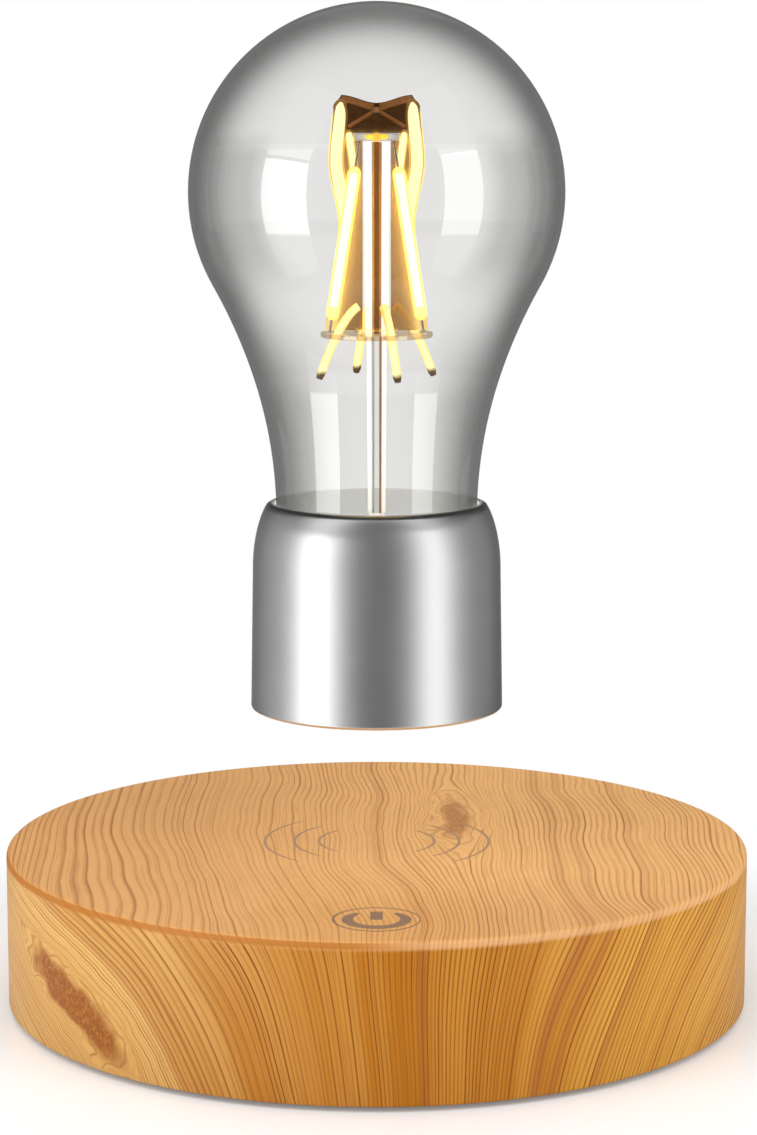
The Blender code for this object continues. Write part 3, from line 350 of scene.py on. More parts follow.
@dataclass(frozen=True)
class WoodPrint(Finish):
    """Softwood print: lines of grain that run front to back and on down the side."""

    top: float = 26.57  # height of the top in mm
    axis: float = 6.0  # where the grain runs straight down, in mm from the middle
    converge: Pair = (0.0205, 0.0150)  # draw-in for each mm down, left and right
    lines: float = 0.98  # grain lines for each mm
    wide: tuple[float, float, float] = (-44.0, -25.0, 7.5)  # zone with so many lines less
    pale: Colour = (0.86, 0.47, 0.165)
    shaded: Colour = (0.74, 0.385, 0.135)  # the top's left and front
    line: Colour = (0.40, 0.15, 0.038)
    # painted light and shade on the side: paler towards the left, deeper towards the right, darker
    # and warmer in the middle
    side_pale: Colour = (0.74, 0.44, 0.145)
    side_right: Colour = (0.71, 0.36, 0.058)
    # painted shade in the side's middle; also the darker tone of its grain and fibres
    side_shade_and_grain: Colour = (0.45, 0.152, 0.006)
    side_line: Colour = (0.22, 0.055, 0.005)
    red: Colour = (0.36, 0.105, 0.022)
    golden: Colour = (0.52, 0.21, 0.040)
    heart: Colour = (0.27, 0.070, 0.010)  # the knots' own red-brown
    # painted shade along the rim's left and middle, painted highlight along its right
    rim: Colour = (0.42, 0.14, 0.012)
    rim_highlight: Colour = (0.70, 0.41, 0.22)
    side_zone: Pair = (0.9, 1.7)  # mm below the top where the side's print starts
    rim_zone: Zone = (0.06, 0.35, 0.9, 1.6)  # the same for the rim
    late: Zone = (0.52, 0.88, 0.92, 1.0)  # share of a grain line
    bend: Pair = (8.6, -6.8)  # mm that the lines bend at the front, and how much less at the right
    bend_front: Pair = (10.0, -55.0)  # y over which the bend sets in
    bend_left: Pair = (-60.0, -34.0)  # x over which it sets in
    bend_right: Pair = (4.0, 26.0)  # x over which it grows less
    calm: Pair = (-48.0, -8.0)  # x between which the waves grow
    shade_left: Pair = (22.0, -36.0)  # x over which the top grows darker
    shade_front: Pair = (-22.0, -52.0)  # y over which it does
    side_light: Pair = (-34.0, 22.0)  # x over which the side's colour changes: painted light, paler on the left and deeper on the right
    side_shade_middle: Pair = (46.0, 6.0)  # painted shade: distance from the middle over which the side grows darker and warmer
    waves: tuple[Wave, ...] = (
        Wave((0.020, 0.016, 0.016), (0.0, 0.0, 0.0), 1.0, 7.0, False),
        Wave((0.05, 0.042, 0.030), (7.0, 0.0, 0.0), 0.0, 3.4),
        Wave((0.09, 0.085, 0.035), (0.0, 3.0, 0.0), 0.0, 0.9),
    )
    knots: tuple[Knot, ...] = (
        Knot((12.8, 16.5, 26.4), (2.5, 12.0, 7.0), 0.95, 1.9),
        Knot((-67.0, -39.2, 9.8), (4.2, 12.0, 8.6), 1.25, 1.5),
        Knot((46.0, 40.0, 12.0), (4.0, 9.0, 6.0), 0.7),
    )
    streaks: tuple[Streak, ...] = (
        Streak(-47.0, 0.8, 0.30),
        Streak(-41.5, 0.5, 0.25),
        Streak(9.5, 1.1, 0.38),
        Streak(39.8, 1.3, 0.50),
        Streak(43.6, 0.7, 0.45),
        Streak(52.5, 0.6, 0.50),
    )

    def grain(self, graph: Graph, place: tuple[Wire, Wire, Wire]) -> tuple[Wire, Wire]:
        """Return the grain's cross coordinate and the share of knot at a place.

        Args:
            graph: The material's graph.
            place: The point in millimetres.

        Returns:
            The coordinate in millimetres across the grain, and a share from 0 to 1.
        """
        x, y, z = place
        depth = self.top - z
        left, right = self.converge
        draw = graph.ramp(x, -10.0, 20.0) * (right - left) + left
        across = (x - self.axis) * (depth * draw + 1.0) + self.axis
        bent, less = self.bend
        front = graph.rise(y, *self.bend_front) * graph.rise(x, *self.bend_left)
        across = across - front * (graph.rise(x, *self.bend_right) * less + bent)
        calm = graph.rise(x, *self.calm) * 0.65 + 0.35
        for wave in self.waves:
            sides = zip((x, y, depth), wave.cells, wave.start, strict=True)
            spot = graph.vector(*(part * cells + start for part, cells, start in sides))
            shift = (graph.noise(spot, wave.detail) - 0.5) * wave.reach
            across = across + (shift * calm if wave.calmed else shift)
        knotted: Term = 0.0
        ragged = graph.cloud((0.45, 0.30, 0.35), 3.0) - 0.5
        gnarl = graph.noise(graph.vector(x * 0.16 + 2.0, y * 0.11, z * 0.20), 1.0) - 0.5
        for knot in self.knots:
            shifts = [
                part - middle for part, middle in zip((across, y, z), knot.centre, strict=True)
            ]
            shifts[0] = shifts[0] + gnarl * knot.reach[0] * 1.7
            shifts[2] = shifts[2] + ragged * knot.reach[2] * 0.5
            squares = [
                (shift / reach) ** 2.0 for shift, reach in zip(shifts, knot.reach, strict=True)
            ]
            far = squares[0] + squares[1] + squares[2]
            flow = graph.math("MAXIMUM", far / knot.flow**2, 1.0)
            across = across - shifts[0] / (flow * flow)
            ring = graph.math("SQRT", graph.math("MINIMUM", far, knot.flow**2))
            across = across + ring * (knot.reach[0] * 0.55)
            inside = graph.rise(far + ragged * 0.8, 1.90, 0.20) * knot.redness
            knotted = inside + knotted
        return across, graph.math("MINIMUM", knotted, 1.0)

    def surface(self, graph: Graph) -> Wire:
        """Return the printed wood: thin late lines, reddish streaks, knots, satin lacquer, with
        painted light and shade on the side and the rim.
        """
        place = graph.place()
        x, y, z = place
        across, knotted = self.grain(graph, place)
        low, high, fewer = self.wide
        spread = graph.ramp(across, low, high)
        count = across * self.lines - spread * fewer
        count = count + graph.noise_along(across * 0.10, 1.0) * 1.5
        turn = graph.math("FRACT", count)
        rank = graph.chance(graph.math("FLOOR", count))
        late = graph.between(turn, *self.late)
        wide = graph.rise(abs(spread - 0.5), 0.52, 0.44)
        depth = graph.rise(self.top - z, *self.side_zone)
        patch = graph.noise(graph.vector(across * 0.05, y * 0.02, z * 0.02), 2.0)
        weight = rank * rank * 0.62 + 0.20 + graph.rise(patch, 0.50, 0.70) * 0.30 + wide * 0.10
        fibre = graph.noise(graph.vector(across * 7.0, y * 0.35, z * 0.35), 2.0, 0.6)
        tone = graph.rise(graph.noise_along(across * 0.085 + 4.0, 2.0), 0.36, 0.66)
        # painted shade: the side is darker and warmer in its middle
        middle = graph.rise(abs(x - 1.0), *self.side_shade_middle)
        # painted light: the side is paler towards the left and deeper towards the right
        lit = graph.blend(graph.rise(x, *self.side_light), self.side_pale, self.side_right)
        side = graph.blend(tone * 0.35 + middle * 0.65, lit, self.side_shade_and_grain)
        left, front = graph.rise(x, *self.shade_left), graph.rise(y, *self.shade_front)
        shade = graph.math("MAXIMUM", left, front)
        wood = graph.blend(depth, graph.blend(shade, self.pale, self.shaded), side)
        wood = graph.blend((fibre - 0.35) * 0.30, wood, self.side_shade_and_grain)
        dark = graph.blend(depth, self.line, self.side_line)
        weight = weight * (1.0 - wide * depth * 0.35) * (1.0 - knotted * 0.5)
        weight = graph.math("MINIMUM", weight * (depth * 0.45 + 1.0), 1.0)
        wood = graph.blend(late * weight, wood, dark)
        broken = graph.noise(graph.vector(across * 1.1, y * 0.10, z * 0.10), 1.0)
        thin = graph.rise(graph.noise_along(across * 2.7, 0.0), 0.50, 0.68)
        thin = thin * graph.rise(broken, 0.35, 0.62) * (1.0 - knotted)
        wood = graph.blend(thin * 0.34, wood, dark)
        for streak in self.streaks:
            away = abs(across - streak.across)
            share = graph.rise(away, streak.half * 1.7, streak.half * 0.3) * streak.weight
            wood = graph.blend(share * (depth * 0.6 + 0.4), wood, self.red)
        mottle = graph.cloud((2.4, 1.5, 1.7), 3.0)
        knot = graph.blend(graph.rise(mottle, 0.42, 0.70) * 0.6, self.heart, self.golden)
        wood = graph.blend(knotted * (depth * 0.24 + 0.68), wood, knot)
        # painted shade on the rim's left and middle, painted highlight towards its right
        edge = graph.between(self.top - z, *self.rim_zone)
        right = graph.rise(x, -5.0, 14.0)
        rim = graph.blend(right, self.rim, self.rim_highlight)
        wood = graph.blend(edge * (0.80 - right * 0.45), wood, rim)
        return graph.principled(
            Base_Color=wood,
            Roughness=fibre * 0.10 + late * 0.06 + 0.34,
            Specular_IOR_Level=0.14,
            Normal=graph.bump(late * -0.5 + fibre * 0.5, 0.00003, 0.35),
        )


@dataclass(frozen=True)
class Moulded(Finish):
    """Moulded plastic or rubber: a fine spark-eroded texture and faint flow marks."""

    colour: Colour = (0.03, 0.03, 0.03)
    roughness: float = 0.5
    grain: float = 9.0  # texture cells for each mm
    relief: float = 0.00002
    gloss: float = 0.4

    def surface(self, graph: Graph) -> Wire:
        """Return the plastic with its texture, flow marks and slight wear."""
        fine = graph.cloud(self.grain)
        flow = graph.cloud((0.15, 0.15, 0.3), 3.0)
        lighter = tuple(min(1.0, part * 1.45 + 0.006) for part in self.colour)
        return graph.principled(
            Base_Color=graph.blend(flow * 0.55 + fine * 0.25, self.colour, lighter),
            Roughness=fine * 0.14 + flow * 0.08 + (self.roughness - 0.1),
            Specular_IOR_Level=self.gloss,
            Normal=graph.bump(fine, self.relief, 0.6),
        )


@dataclass(frozen=True)
class Metal(Finish):
    """Bare or plated metal: fine turning marks round the vertical axis and light scratches."""

    colour: Colour = (0.6, 0.6, 0.61)
    roughness: float = 0.3
    marks: float = 14.0  # turning marks for each mm
    relief: float = 0.000006

    def surface(self, graph: Graph) -> Wire:
        """Return the metal with its marks, scratches and a faint tarnish."""
        _, _, z = graph.place()
        turned = graph.noise_along((graph.radius() + z) * self.marks, 2.0)
        scratch = graph.cloud((2.0, 16.0, 3.0), 3.0)
        tarnish = graph.cloud(0.2, 3.0)
        dull = tuple(part * 0.78 for part in self.colour)
        return graph.principled(
            Base_Color=graph.blend(tarnish, self.colour, dull),
            Metallic=1.0,
            Roughness=turned * 0.10 + scratch * 0.12 + (self.roughness - 0.1),
            Normal=graph.bump(turned * 0.6 + scratch * 0.4, self.relief, 0.5),
        )


@dataclass(frozen=True)
class SilverPaint(Finish):
    """Satin silver, turned round the axis; the inside is a pale lining that also shines by itself,
    a painted light.
    """

    dark: Colour = (0.74, 0.74, 0.745)
    bright: Colour = (0.86, 0.86, 0.865)
    roughness: float = 0.286
    spread: float = 0.90  # how much more the reflection spreads sideways than up and down
    lining: Colour = (0.80, 0.80, 0.79)
    # painted light: how strongly the pale lining shines by itself
    lining_painted_glow: float = 0.42

    def surface(self, graph: Graph) -> Wire:
        """Return the paint: a fine grain in its brightness, and a soft pitted lustre; the lining
        shines with painted light.
        """
        cells = graph.cloud(9.0, 1.0)
        clouds = graph.cloud(0.25)
        pits = graph.cloud(5.0, 1.0)
        silver = graph.principled(
            Base_Color=graph.blend(cells * 0.7 + clouds * 0.3, self.dark, self.bright),
            Metallic=1.0,
            Roughness=cells * 0.03 + clouds * 0.02 + (self.roughness - 0.02),
            Anisotropic=self.spread,
            Tangent=graph.round_the_axis(),
            Normal=graph.bump(pits, 0.000003, 0.15),
        )
        # painted light: the pale lining glows by itself
        lining = graph.lit(self.lining, clouds * 0.1 + 0.5, self.lining_painted_glow)
        return graph.mixed(graph.rise(graph.marked("lining"), 0.3, 0.9), silver, lining)


@dataclass(frozen=True)
class Winding(Finish):
    """Enamelled copper wire: turns side by side, with a lacquer gloss."""

    colour: Colour = (0.62, 0.24, 0.085)
    pitch: float = 2.6  # turns for each mm
    flat: bool = False  # turns lie side by side outwards, not upwards

    def surface(self, graph: Graph) -> Wire:
        """Return the copper with its turns, each a little lighter or darker, and painted shade
        towards the grooves between turns.
        """
        count = (graph.radius() if self.flat else graph.place()[2]) * self.pitch
        hump = graph.math("SINE", count * (2 * math.pi)) * 0.5 + 0.5
        shade = graph.chance(graph.math("FLOOR", count))
        dark = tuple(part * 0.55 for part in self.colour)
        return graph.principled(
            # painted shade: each turn darker towards the grooves between it and the next
            Base_Color=graph.blend(shade * 0.5 + hump * 0.3, dark, self.colour),
            Metallic=0.85,
            Roughness=shade * 0.12 + 0.26,
            Normal=graph.bump(hump, 0.0001, 0.6),
        )


@dataclass(frozen=True)
class CircuitBoard(Finish):
    """Green solder mask over copper tracks, with rows of tinned pads."""

    mask: Colour = (0.012, 0.13, 0.055)
    track: Colour = (0.03, 0.22, 0.09)
    tin: Colour = (0.55, 0.53, 0.48)
    grid: float = 1.27  # mm between tracks
    row: float = 1.9  # mm between rows of pads

    def surface(self, graph: Graph) -> Wire:
        """Return the board: tracks on a square grid, and pads where they end."""
        x, y, _ = graph.place()
        snap = graph.math("SNAP", x, self.grid)
        lane = graph.chance(snap * 3.1)
        wave = graph.math("PINGPONG", x, self.grid / 2)
        broken = graph.noise(graph.vector(snap * 0.9, y * 0.12, lane), 1.0)
        track = graph.rise(wave, 0.30, 0.22) * graph.rise(broken, 0.42, 0.46)
        pad_x = graph.math("PINGPONG", x, self.grid) - self.grid / 2
        pad_y = graph.math("PINGPONG", y, self.row) - self.row / 2
        spot = graph.math("SQRT", pad_x * pad_x + pad_y * pad_y)
        pad = graph.rise(spot, 0.42, 0.36) * graph.rise(broken, 0.56, 0.60)
        green = graph.blend(track, self.mask, self.track)
        return graph.principled(
            Base_Color=graph.blend(pad, green, self.tin),
            Metallic=pad * 0.9,
            Roughness=pad * -0.12 + 0.40,
            Normal=graph.bump(track * 0.4 + pad, 0.00004, 0.7),
        )


@dataclass(frozen=True)
class ThinGlass(Finish):
    """Clear glass that is seen through unbent: it darkens and mirrors more when edge on."""

    tone: Colour = (1.0, 1.0, 1.0)
    loss: float = 0.088  # what the outer face takes head on, as an exponent
    balance: float = 0.53  # how much less it takes where it mirrors more
    rim_loss: float = 0.80  # what it takes more when edge on
    rim: Pair = (18.3, 5.0)  # how soon that sets in: factor and power
    neck_rim: Pair = (6.2, 2.1)  # the same down in the neck
    neck: Pair = (118.0, 98.0)  # heights in mm between which the neck starts
    inner_loss: float = 0.03
    mirror: float = 0.095
    rim_mirror: float = 0.17
    neck_mirror: float = 0.09
    crown_mirror: float = 0.014
    below: Pair = (130.6, 130.0)  # mm; the mirror is weak from here to the neck
    above: Pair = (143.2, 143.8)  # mm; and weaker from here to the crown
    strips: Pair = (105.0, 104.2)  # mm; the neck mirrors more from here down
    belt: float = 0.175  # extra loss in a belt near the edge, round the widest part
    belt_facing: Zone = (0.16, 0.30, 0.52, 0.62)
    belt_heights: Zone = (119.0, 127.0, 141.0, 147.0)  # mm
    low_mirror: float = 0.012  # the weak mirror between the heights of below and strips
    inner_mirror: float = 0.006
    # painted light: how strongly the glass shines by itself
    glow: float = 0.0
    dust: float = 0.004

    def surface(self, graph: Graph) -> Wire:
        """Return the glass: a tinted view through, under a mirror-smooth reflection."""
        edge = graph.facing()
        inner = graph.marked("inner_wall")
        _, _, z = graph.place()
        drawn = graph.cloud((0.05, 0.05, 0.22))
        neck = graph.rise(z, *self.neck)
        steep = (edge ** self.rim[1]) * self.rim[0] * (1.0 - neck)
        steep = steep + (edge ** self.neck_rim[1]) * self.neck_rim[0] * neck
        rim = 1.0 - graph.math("EXPONENT", steep * -1.0)
        belt = graph.between(edge, *self.belt_facing) * graph.between(z, *self.belt_heights)
        level = self.mirror - graph.rise(z, *self.below) * (self.mirror - self.low_mirror)
        level = level + graph.rise(z, *self.strips) * (self.neck_mirror - self.low_mirror)
        level = level - graph.rise(z, *self.above) * (self.mirror - self.crown_mirror)
        outer_depth = rim * self.rim_loss + belt * self.belt + self.loss - level * self.balance
        depth = outer_depth * (1.0 - inner) + inner * self.inner_loss + drawn * 0.008
        passed = graph.math("EXPONENT", depth * -1.0)
        # painted light: the mirror layer shines by itself at the glow strength
        gloss = graph.lit(self.tone, drawn * 0.01 + self.dust, self.glow, Metallic=1.0)
        share = (edge**5.0) * (self.rim_mirror - self.mirror) + level
        share = (share * (1.0 - inner) + inner * self.inner_mirror) * graph.outward()
        tint = graph.blend(1.0, passed, self.tone, "MULTIPLY")
        return graph.mixed(share, graph.clear(tint), gloss)


@dataclass(frozen=True)
class StemTube(Finish):
    """Clear tube: its walls show as pale strips of painted highlight, brighter between the two
    discs, and its bore glows with painted amber light.
    """

    # painted highlight: the colour in which the walls shine by themselves
    light: Colour = (1.0, 0.97, 0.87)
    amber: Colour = (0.90, 0.82, 0.66)  # the guide's colour, seen in the bore
    filling: Colour = (0.34, 0.19, 0.06)  # painted light: amber glow that fills the bore
    lit_heights: Zone = (112.1, 113.0, 144.0, 144.8)  # mm
    wall: Zone = (0.055, 0.105, 0.50, 0.72)  # facing, where lit
    strip: Zone = (0.085, 0.12, 0.36, 0.46)  # facing, elsewhere
    wall_painted_glow: float = 0.72
    filling_painted_glow: float = 0.55

    def surface(self, graph: Graph) -> Wire:
        """Return the tube: clear over its bore, pale in its walls, which shine as painted
        highlight, with painted amber light in the bore and faint draw lines.
        """
        edge = graph.facing()
        outside = 1.0 - graph.marked("bore")
        lines = graph.cloud((2.5, 2.5, 0.06), 1.0)
        lit = graph.between(graph.place()[2], *self.lit_heights)
        walls = graph.between(edge, *self.wall) * 0.80
        strip = graph.between(edge, *self.strip)
        # painted highlight: the walls shine by themselves
        glow = graph.lit(self.light, lines * 0.1 + 0.1, self.wall_painted_glow, Specular_IOR_Level=0.2)
        share = lit * walls + (1.0 - lit) * strip * (lines * 0.3 + 0.30)
        middle = graph.rise(edge, 0.085, 0.050) * lit * outside
        tint = graph.blend(middle, (0.985, 0.99, 0.985), self.amber)
        tube = graph.mixed(share * outside + 0.01, graph.clear(tint), glow)
        rough = lines * 0.1 + 0.3
        # painted light: the bore glows amber by itself
        filled = graph.lit(self.filling, rough, self.filling_painted_glow, Specular_IOR_Level=0.1)
        return graph.mixed(middle * (lines * 0.2 + 0.40), tube, filled)


@dataclass(frozen=True)
class AmberGuide(Finish):
    """Amber light guide: dense at the top, golden below and near the filaments."""

    thin: Colour = (0.76, 0.61, 0.43)
    dense: Colour = (0.30, 0.19, 0.09)
    body: Colour = (0.48, 0.27, 0.07)
    dark: Colour = (0.06, 0.03, 0.02)
    golden: Colour = (1.0, 0.80, 0.30)
    crown: Colour = (0.88, 0.52, 0.02)  # the lit bead in the crown
    bead: Zone = (144.25, 144.35, 145.7, 145.8)  # its heights in mm
    cross_light: Colour = (0.30, 0.125, 0.04)  # the lit cross bar near the top
    cross: Zone = (148.9, 149.2, 149.65, 149.95)  # its heights
    dark_zone: Pair = (144.6, 146.8)  # heights in mm between which it darkens
    foot_zone: Pair = (121.0, 114.0)  # heights between which it grows denser at its foot
    light_top: Pair = (141.5, 137.0)  # heights between which the filaments' light ends
    outer: Zone = (122.5, 128.5, 136.0, 139.5)  # heights of the light outside the filaments
    edge: Zone = (128.0, 136.0, 148.8, 150.2)  # heights of the light at the plates' edges
    foot: Pair = (7.7, 112.6)  # radius and height of the filaments' ends in mm
    head: Pair = (2.9, 147.0)
    reach: float = 1.5  # how far their light spreads in the plate, in mm

    def surface(self, graph: Graph) -> Wire:
        """Return the guide: a tinted view through, and an amber body that the light fills."""
        x, _, z = graph.place()
        speck = graph.cloud((1.3, 1.3, 0.7), 4.0, 0.65)
        height = z + (speck - 0.5) * 1.2
        dense = graph.rise(height, *self.dark_zone)
        foot = graph.rise(z, *self.foot_zone) * 0.22
        tint = graph.blend(dense * 0.9 + speck * 0.10 + foot, self.thin, self.dense)
        slope = (self.head[0] - self.foot[0]) / (self.head[1] - self.foot[1])
        line = (z - self.foot[1]) * slope + self.foot[0]
        radius = graph.radius()
        away = abs(radius - line) - 0.7
        light = graph.math("EXPONENT", graph.math("MAXIMUM", away, 0.0) * (-1 / self.reach))
        light = light * graph.rise(z, *self.light_top)
        beside = graph.rise(abs(x), 1.0, 2.2)
        outer = graph.rise(radius - line, -0.4, 0.6) * graph.between(z, *self.outer)
        edge = graph.rise(radius, 6.4, 7.0) * graph.between(z, *self.edge) * 0.55
        light = graph.math("MAXIMUM", graph.math("MAXIMUM", light, outer), edge) * beside
        front = graph.rise(abs(x), 0.5, 0.42)
        bead = graph.between(z, *self.bead) * graph.rise(radius, 3.6, 3.8) * front
        cross = graph.between(z, *self.cross) * graph.rise(radius, 2.0, 2.4) * front
        share = dense * 0.12 + light * 0.62 + 0.14
        shine = graph.blend(cross, self.golden, self.cross_light)
        gloss = graph.principled(
            Base_Color=graph.blend(dense, graph.blend(speck, self.body, self.dense), self.dark),
            Roughness=speck * 0.1 + 0.08,
            Emission_Color=graph.blend(bead, shine, self.crown),
            Emission_Strength=light * (1.0 - speck * 0.3) + bead * 0.9 + cross * 0.7,
            Normal=graph.bump(speck, 0.00004, 0.3),
        )
        share = graph.math("MINIMUM", share + bead + cross, 1.0)
        return graph.mixed(share, graph.clear(tint), gloss)


@dataclass(frozen=True)
class Glow(Finish):
    """A surface that shines: white-hot where seen head on, coloured towards its edges."""

    colour: Colour = (1.0, 0.80, 0.22)
    deep: Colour = (0.95, 0.60, 0.08)
    strength: float = 1.0
    cover: float = 1.0  # share of the view that it hides; the rest is seen through
    dark_from: float = 0.0  # height in mm where it starts to darken downwards
    dark_to: float = -1.0
    dark: Colour = (0.07, 0.035, 0.01)
    white: Colour = (1.0, 0.98, 0.88)
    core: Pair = (0.0, 0.0)  # facing at which the white turns to the colour
    fade: Pair = (0.0, 0.0)  # heights in mm between which it fades upwards
    tint: Colour | None = None  # of what is seen through; its own colour if None

    def surface(self, graph: Graph) -> Wire:
        """Return the glow over a phosphor-coloured body."""
        _, _, z = graph.place()
        cloud = graph.cloud((0.9, 0.9, 0.35))
        light = graph.blend(graph.rise(cloud, 0.35, 0.75), self.colour, self.deep)
        body = graph.blend(cloud, self.colour, self.deep)
        if self.core[1] > self.core[0]:
            light = graph.blend(graph.rise(graph.facing(), *self.core), self.white, light)
        if self.dark_from > self.dark_to >= 0:
            tip = graph.rise(z + (cloud - 0.5) * 1.0, self.dark_from, self.dark_to)
            light = graph.blend(tip, light, self.dark)
            body = graph.blend(tip, body, self.dark)
        lit = graph.principled(
            Base_Color=body,
            Roughness=cloud * 0.1 + 0.2,
            Emission_Color=light,
            Emission_Strength=self.strength,
        )
        if self.cover >= 1.0:
            return lit
        cover: Term = self.cover
        if self.fade[1] > self.fade[0]:
            cover = graph.rise(z, self.fade[1], self.fade[0]) * self.cover
        return graph.mixed(cover, graph.clear(self.tint or self.colour), lit)


WOOD = WoodPrint("wood_print", "wood_print")
FAINT_INK = Moulded("faint_ink", "wood_print", (0.36, 0.20, 0.11), 0.5, 3.0, 0.000004, 0.3)
INK = Moulded("printed_ink", "wood_print", (0.25, 0.145, 0.085), 0.5, 3.0, 0.000004, 0.3)
COVER = Moulded("black_cover", "black_cover", (0.022, 0.022, 0.023), 0.55)
RUBBER = Moulded("foot_rubber", "foot_rubber", (0.035, 0.035, 0.036), 0.85, 5.0, 0.00003, 0.25)
BLACK = Moulded("black_plastic", "black_plastic", (0.02, 0.02, 0.022), 0.38, 7.0)
SLEEVE = Moulded("capacitor_sleeve", "capacitor_sleeve", (0.02, 0.04, 0.11), 0.28, 2.0)
FERRITE = Moulded("ferrite", "ferrite", (0.06, 0.06, 0.064), 0.62, 4.0, 0.00004)
HOLDER = Moulded("white_moulding", "white_moulding", (0.72, 0.72, 0.70), 0.45, 5.0)
SEAL = Moulded("seal_silicone", "seal_silicone", (0.80, 0.80, 0.79), 0.5, 2.0)
STEEL = Metal("screw_steel", "screw_steel", (0.58, 0.58, 0.59), 0.28)
SPRING = Metal("spring_steel", "screw_steel", (0.62, 0.61, 0.60), 0.25, 5.0)
ALUMINIUM = Metal("aluminium", "aluminium", (0.66, 0.66, 0.67), 0.36, 4.0)
NICKEL = Metal("nickel_plate", "nickel_magnet", (0.66, 0.64, 0.60), 0.2, 6.0)
COPPER_FOIL = Metal("copper_foil", "copper_winding", (0.75, 0.33, 0.16), 0.3, 5.0)
TINNED = Metal("tinned_wire", "copper_winding", (0.84, 0.84, 0.83), 0.35, 5.0)
COPPER_COIL = Winding("copper_coil", "copper_winding")
COPPER_SPIRAL = Winding("copper_spiral", "copper_winding", pitch=1.6, flat=True)
BOARD = CircuitBoard("circuit_board", "circuit_board")
SILVER = SilverPaint("silver_paint", "silver_paint")
FLAT_GLASS = {  # what the glass discs share
    "rim": (3.0, 1.6),
    "neck_rim": (3.0, 1.6),
    "balance": 0.0,
    "below": (2.0, 1.0),
    "belt": 0.0,
    "dust": 0.02,
}
ENVELOPE_GLASS = ThinGlass("envelope_glass", "clear_glass", (1.0, 0.998, 0.994))
DISC_GLASS = ThinGlass(
    "disc_glass",
    "clear_glass",
    (1.0, 0.90, 0.74),
    loss=0.05,
    rim_loss=0.22,
    mirror=0.20,
    rim_mirror=0.45,
    neck_mirror=0.20,
    crown_mirror=0.20,
    # painted light: the support disc shines by itself
    glow=0.42,
    **FLAT_GLASS,
)
CROWN_GLASS = ThinGlass(
    "crown_glass",
    "clear_glass",
    (1.0, 0.965, 0.91),
    loss=0.03,
    rim_loss=0.35,
    mirror=0.05,
    rim_mirror=0.4,
    # painted light: the crown disc shines by itself
    glow=0.2,
    **FLAT_GLASS,
)
STEM_GLASS = StemTube("stem_glass", "clear_glass")
AMBER = AmberGuide("amber_guide", "amber_guide")
RIB = Glow("amber_rib", "amber_guide", (0.28, 0.115, 0.035), (0.20, 0.075, 0.02), 0.7, 0.6)
LEG_GLOW = Glow(
    "lit_leg",
    "amber_guide",
    (0.98, 0.80, 0.26),
    (0.95, 0.70, 0.16),
    strength=0.70,
    dark_from=107.1,
    dark_to=106.1,
    white=(1.0, 0.93, 0.62),
    core=(0.05, 0.42),
)
HUB_GLOW = Glow(
    "lit_hub",
    "amber_guide",
    (1.0, 0.82, 0.30),
    (0.95, 0.66, 0.15),
    strength=0.7,
    cover=0.55,
    fade=(113.0, 114.0),
    tint=(1.0, 0.985, 0.95),
)
EDGE_GLOW = Glow(
    "lit_edge",
    "amber_guide",
    (0.95, 0.78, 0.26),
    (0.88, 0.70, 0.16),
    strength=0.75,
    cover=0.9,
    white=(1.0, 0.96, 0.74),
    core=(0.02, 0.32),
)
EDGE_CORE = Glow("lit_edge_core", "amber_guide", (1.0, 0.975, 0.80), (1.0, 0.96, 0.72), 0.95)
GOLD_CORE = Glow("lit_core", "amber_guide", (0.88, 0.55, 0.02), (0.95, 0.66, 0.05), 0.8)
PHOSPHOR = Glow(
    "phosphor",
    "filament_phosphor",
    (1.0, 0.84, 0.25),
    (1.0, 0.78, 0.16),
    strength=0.9,
    cover=0.62,
    white=(1.0, 0.92, 0.50),
    core=(0.10, 0.50),
)
DIE_GLOW = Glow("led_die", "filament_phosphor", (1.0, 0.97, 0.88), (1.0, 0.95, 0.82), 7.0)


# Meshes


def rounded(points: Profile, corners: dict[int, float], segments: int = 5) -> Profile:
    """Return a profile with some of its corners rounded.

    Args:
        points: The profile's points.
        corners: The radius for each corner that is rounded, by its number.
        segments: How many pieces each rounding has.

    Returns:
        The new profile.
    """
    made: Profile = []
    for index, point in enumerate(points):
        if index not in corners:
            made.append(point)
            continue
        corner = Vector(point)
        before = (Vector(points[index - 1]) - corner).normalized() * corners[index]
        after = (Vector(points[(index + 1) % len(points)]) - corner).normalized()
        after *= corners[index]
        for step in range(segments + 1):
            t = step / segments
            place = corner + before * (1 - t) ** 2 + after * t**2
            made.append((place.x, place.y))
    return made


def linked(name: str, data: bpy.types.ID) -> bpy.types.Object:
    """Return a new object with the given data, linked to the scene."""
    made = bpy.data.objects.new(name, data)
    bpy.context.scene.collection.objects.link(made)
    return made


def mark_points(mesh: bpy.types.Mesh, name: str, marks: Sequence[float]) -> None:
    """Store a number on each point of a mesh, for its finish to read."""
    mesh.attributes.new(name, "FLOAT", "POINT").data.foreach_set("value", marks)


def mark_from(mesh: bpy.types.Mesh, name: str, first: int) -> None:
    """Mark the points of a mesh from the given one on."""
    mark_points(mesh, name, [float(index >= first) for index in range(len(mesh.vertices))])


def finished(shape: bmesh.types.BMesh, name: str, sharp: float = SHARP) -> bpy.types.Mesh:
    """Return a mesh with outward faces, shaded smooth up to an angle in degrees."""
    bmesh.ops.recalc_face_normals(shape, faces=shape.faces)
    mesh = bpy.data.meshes.new(name)
    shape.to_mesh(mesh)
    shape.free()
    mesh.polygons.foreach_set("use_smooth", [True] * len(mesh.polygons))
    mesh.set_sharp_from_angle(angle=math.radians(sharp))
    return mesh


